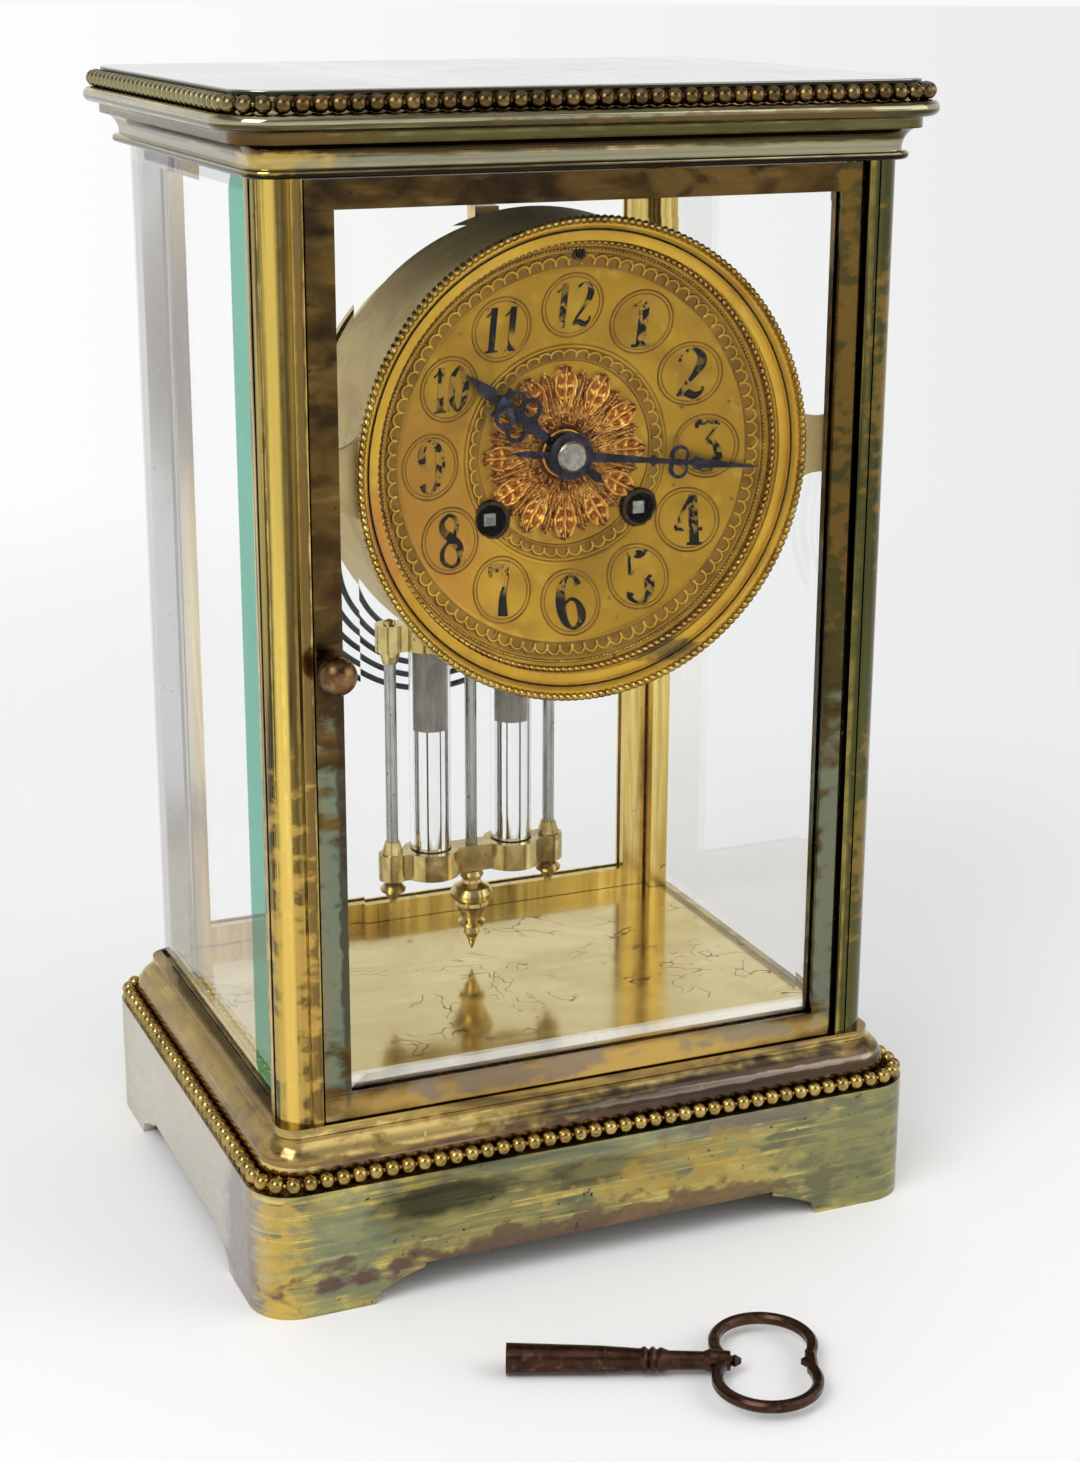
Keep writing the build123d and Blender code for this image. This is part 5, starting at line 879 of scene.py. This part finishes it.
for label, value in (("Base Color", mixed(enamel_tree, lost, (0.008, 0.007, 0.006), (0.45, 0.27, 0.045))),
                     ("Metallic", times(enamel_tree, lost, 0.9)), ("Roughness", 0.5),
                     ("Specular IOR Level", 0.12)):
    fill(enamel_tree, enamel_shader[label], value)
plain_piece("numerals", numeral_points, numeral_faces, enamel, False)


# Dark turned cups line the two winding holes and the small hole of the regulator.
def turned_ring(name, x, z, profile, turns, material):
    points, faces = [], []
    count = len(profile)
    for i in range(turns):
        a = 2 * pi * i / turns
        for r, y in profile:
            points.append(((x + r * cos(a)) * MM, y * MM, (z + r * sin(a)) * MM))
        for j in range(count):
            k, n = (j + 1) % count, (i + 1) % turns
            faces.append((i * count + j, i * count + k, n * count + k, n * count + j))
    plain_piece(name, points, faces, material)


collar_metal = Finish("hole_collar", (0.045, 0.026, 0.015), (0.085, 0.05, 0.022), (0.02, 0.013, 0.008),
                      (0.2, 0.13, 0.05), 300, 600).done(0.3, 0.2)
for index, (hole_x, hole_z, _) in enumerate(HOLES[:2]):
    face = float(on_dish(hole_x, hole_z))
    inner_face = float(on_dish(hole_x * 0.83, hole_z * 0.83))
    lip = [(3.5, face - 0.9), (3.9, face - 1.0), (4.5, face - 0.6), (4.6, inner_face + 1.2),
           (4.6, face + 5.0), (2.2, face + 5.0), (2.2, face + 4.6), (4.1, face + 4.6),
           (4.0, inner_face + 1.6), (3.5, inner_face + 1.4)]
    turned_ring(f"winding_collar_{index + 1}", hole_x, DIAL_Z + hole_z, lip, 40, collar_metal)
face = float(on_dish(0, REGULATOR_R))
lip = [(1.0, face - 0.3), (1.6, face - 0.3), (1.7, face + 0.6), (1.0, face + 0.9)]
turned_ring("regulator_collar", 0, DIAL_Z + REGULATOR_R, lip, 24, collar_metal)


# The bezel is a deep spun ring of gilt brass with a twisted rope pressed into its outer rim and a
# finer one round its throat, where it meets the dial.
rope_tree, given, rope_end = new_group("rope_edge", {
    "Radius": "Float", "Strands": "Int", "Thickness": "Float", "Lay": "Float", "Place": "Vector",
    "Metal": "Material"}, {"Geometry": "Geometry"}, "GeometryNodeTree")
hoop = add(rope_tree, "GeometryNodeCurvePrimitiveCircle", {"Resolution": 256, "Radius": given["Radius"]})
dots = add(rope_tree, "GeometryNodeCurveToPoints", {"Curve": hoop, "Count": given["Strands"]}).outputs
strand = add(rope_tree, "GeometryNodeMeshUVSphere", {"Segments": 8, "Rings": 6, "Radius": 1})
strand_size = add(rope_tree, "ShaderNodeCombineXYZ", {
    "X": given["Thickness"], "Y": given["Thickness"], "Z": times(rope_tree, given["Thickness"], 1.7)})
laid = add(rope_tree, "GeometryNodeInstanceOnPoints", {
    "Points": dots["Points"], "Rotation": dots["Rotation"], "Instance": strand, "Scale": strand_size})
tilt = add(rope_tree, "ShaderNodeCombineXYZ", {"X": given["Lay"]})
twist = add(rope_tree, "GeometryNodeRotateInstances", {"Instances": laid, "Rotation": tilt})
real = add(rope_tree, "GeometryNodeRealizeInstances", {0: twist})
upright = add(rope_tree, "GeometryNodeTransform", {"Geometry": real, "Translation": given["Place"],
                                                   "Rotation": (pi / 2, 0, 0)})
soft = add(rope_tree, "GeometryNodeSetShadeSmooth", {0: upright})
gilded = add(rope_tree, "GeometryNodeSetMaterial", {"Geometry": soft, "Material": given["Metal"]})
fill(rope_tree, rope_end.inputs["Geometry"], gilded)


Finish("bezel_gilt", (0.66, 0.385, 0.026), (0.76, 0.48, 0.045), (0.5, 0.27, 0.022), (0.84, 0.58, 0.11),
       30, 260, (0.7, 0.45, 0.35), 0.35, metallic=0.6).stained(
    ((0.56, 0.22, 0.045), (-0.05, -0.05, 0.168), (0.009, 0.03, 0.02), 0.75, 0.5),
    ((0.12, 0.085, 0.03), (0.02, -0.048, 0.1435), (0.01, 0.02, 0.003), 0.75, 0.8)).done(
    0.48, 0.25, "bezel", depth=DEEP)
rope_metal = Finish("rope_gilt", (0.48, 0.31, 0.06), (0.64, 0.44, 0.1), (0.24, 0.145, 0.035),
                    (0.84, 0.64, 0.22), 90, 300, (0.6, 0.5, 0.5), 0.6).done(0.24, 0.15)
for name, radius, strands, thickness, depth in (
        ("bezel_rope", 52.75, 204, 0.95, 0.1), ("throat_rope", 47.6, 190, 0.72, 4.6),
        ("band_rope", 46.1, 330, 0.36, 5.95)):
    rope = made_by_nodes(name, rope_tree, {
        "Radius": radius * MM, "Strands": strands, "Thickness": thickness * MM, "Lay": 1.0,
        "Place": (0, (BEZEL_Y + depth) * MM, DIAL_Z * MM), "Metal": rope_metal})
    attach(rope, "case")


# The hands are sawn from sheet steel and blued almost black; the polished nut that holds them
# is slotted.
Finish("blued_steel", (0.022, 0.02, 0.026), (0.045, 0.045, 0.07), (0.012, 0.01, 0.012),
       (0.09, 0.09, 0.13), 200, 500, (0.6, 0.5, 0.5), 0.3).done(0.24, 0.1, "hour_hand", "minute_hand")
Finish("nut_steel", (0.27, 0.25, 0.21), (0.42, 0.4, 0.35), (0.12, 0.1, 0.07), (0.55, 0.53, 0.47), 260,
       700, (0.6, 0.8, 0.5), 0.8).done(0.2, 0.2, "hand_nut")


# The winding key lies loose on the table: forged steel with a dark brown skin, turned rings on its
# neck and a heart-shaped bow.
Finish("key_iron", (0.06, 0.028, 0.018), (0.11, 0.055, 0.035), (0.025, 0.014, 0.01),
       (0.2, 0.12, 0.08), 90, 500, (0.4, 0.6, 0.4), 0.6).done(0.22, 0.35, "winding_key", depth=DEEP)
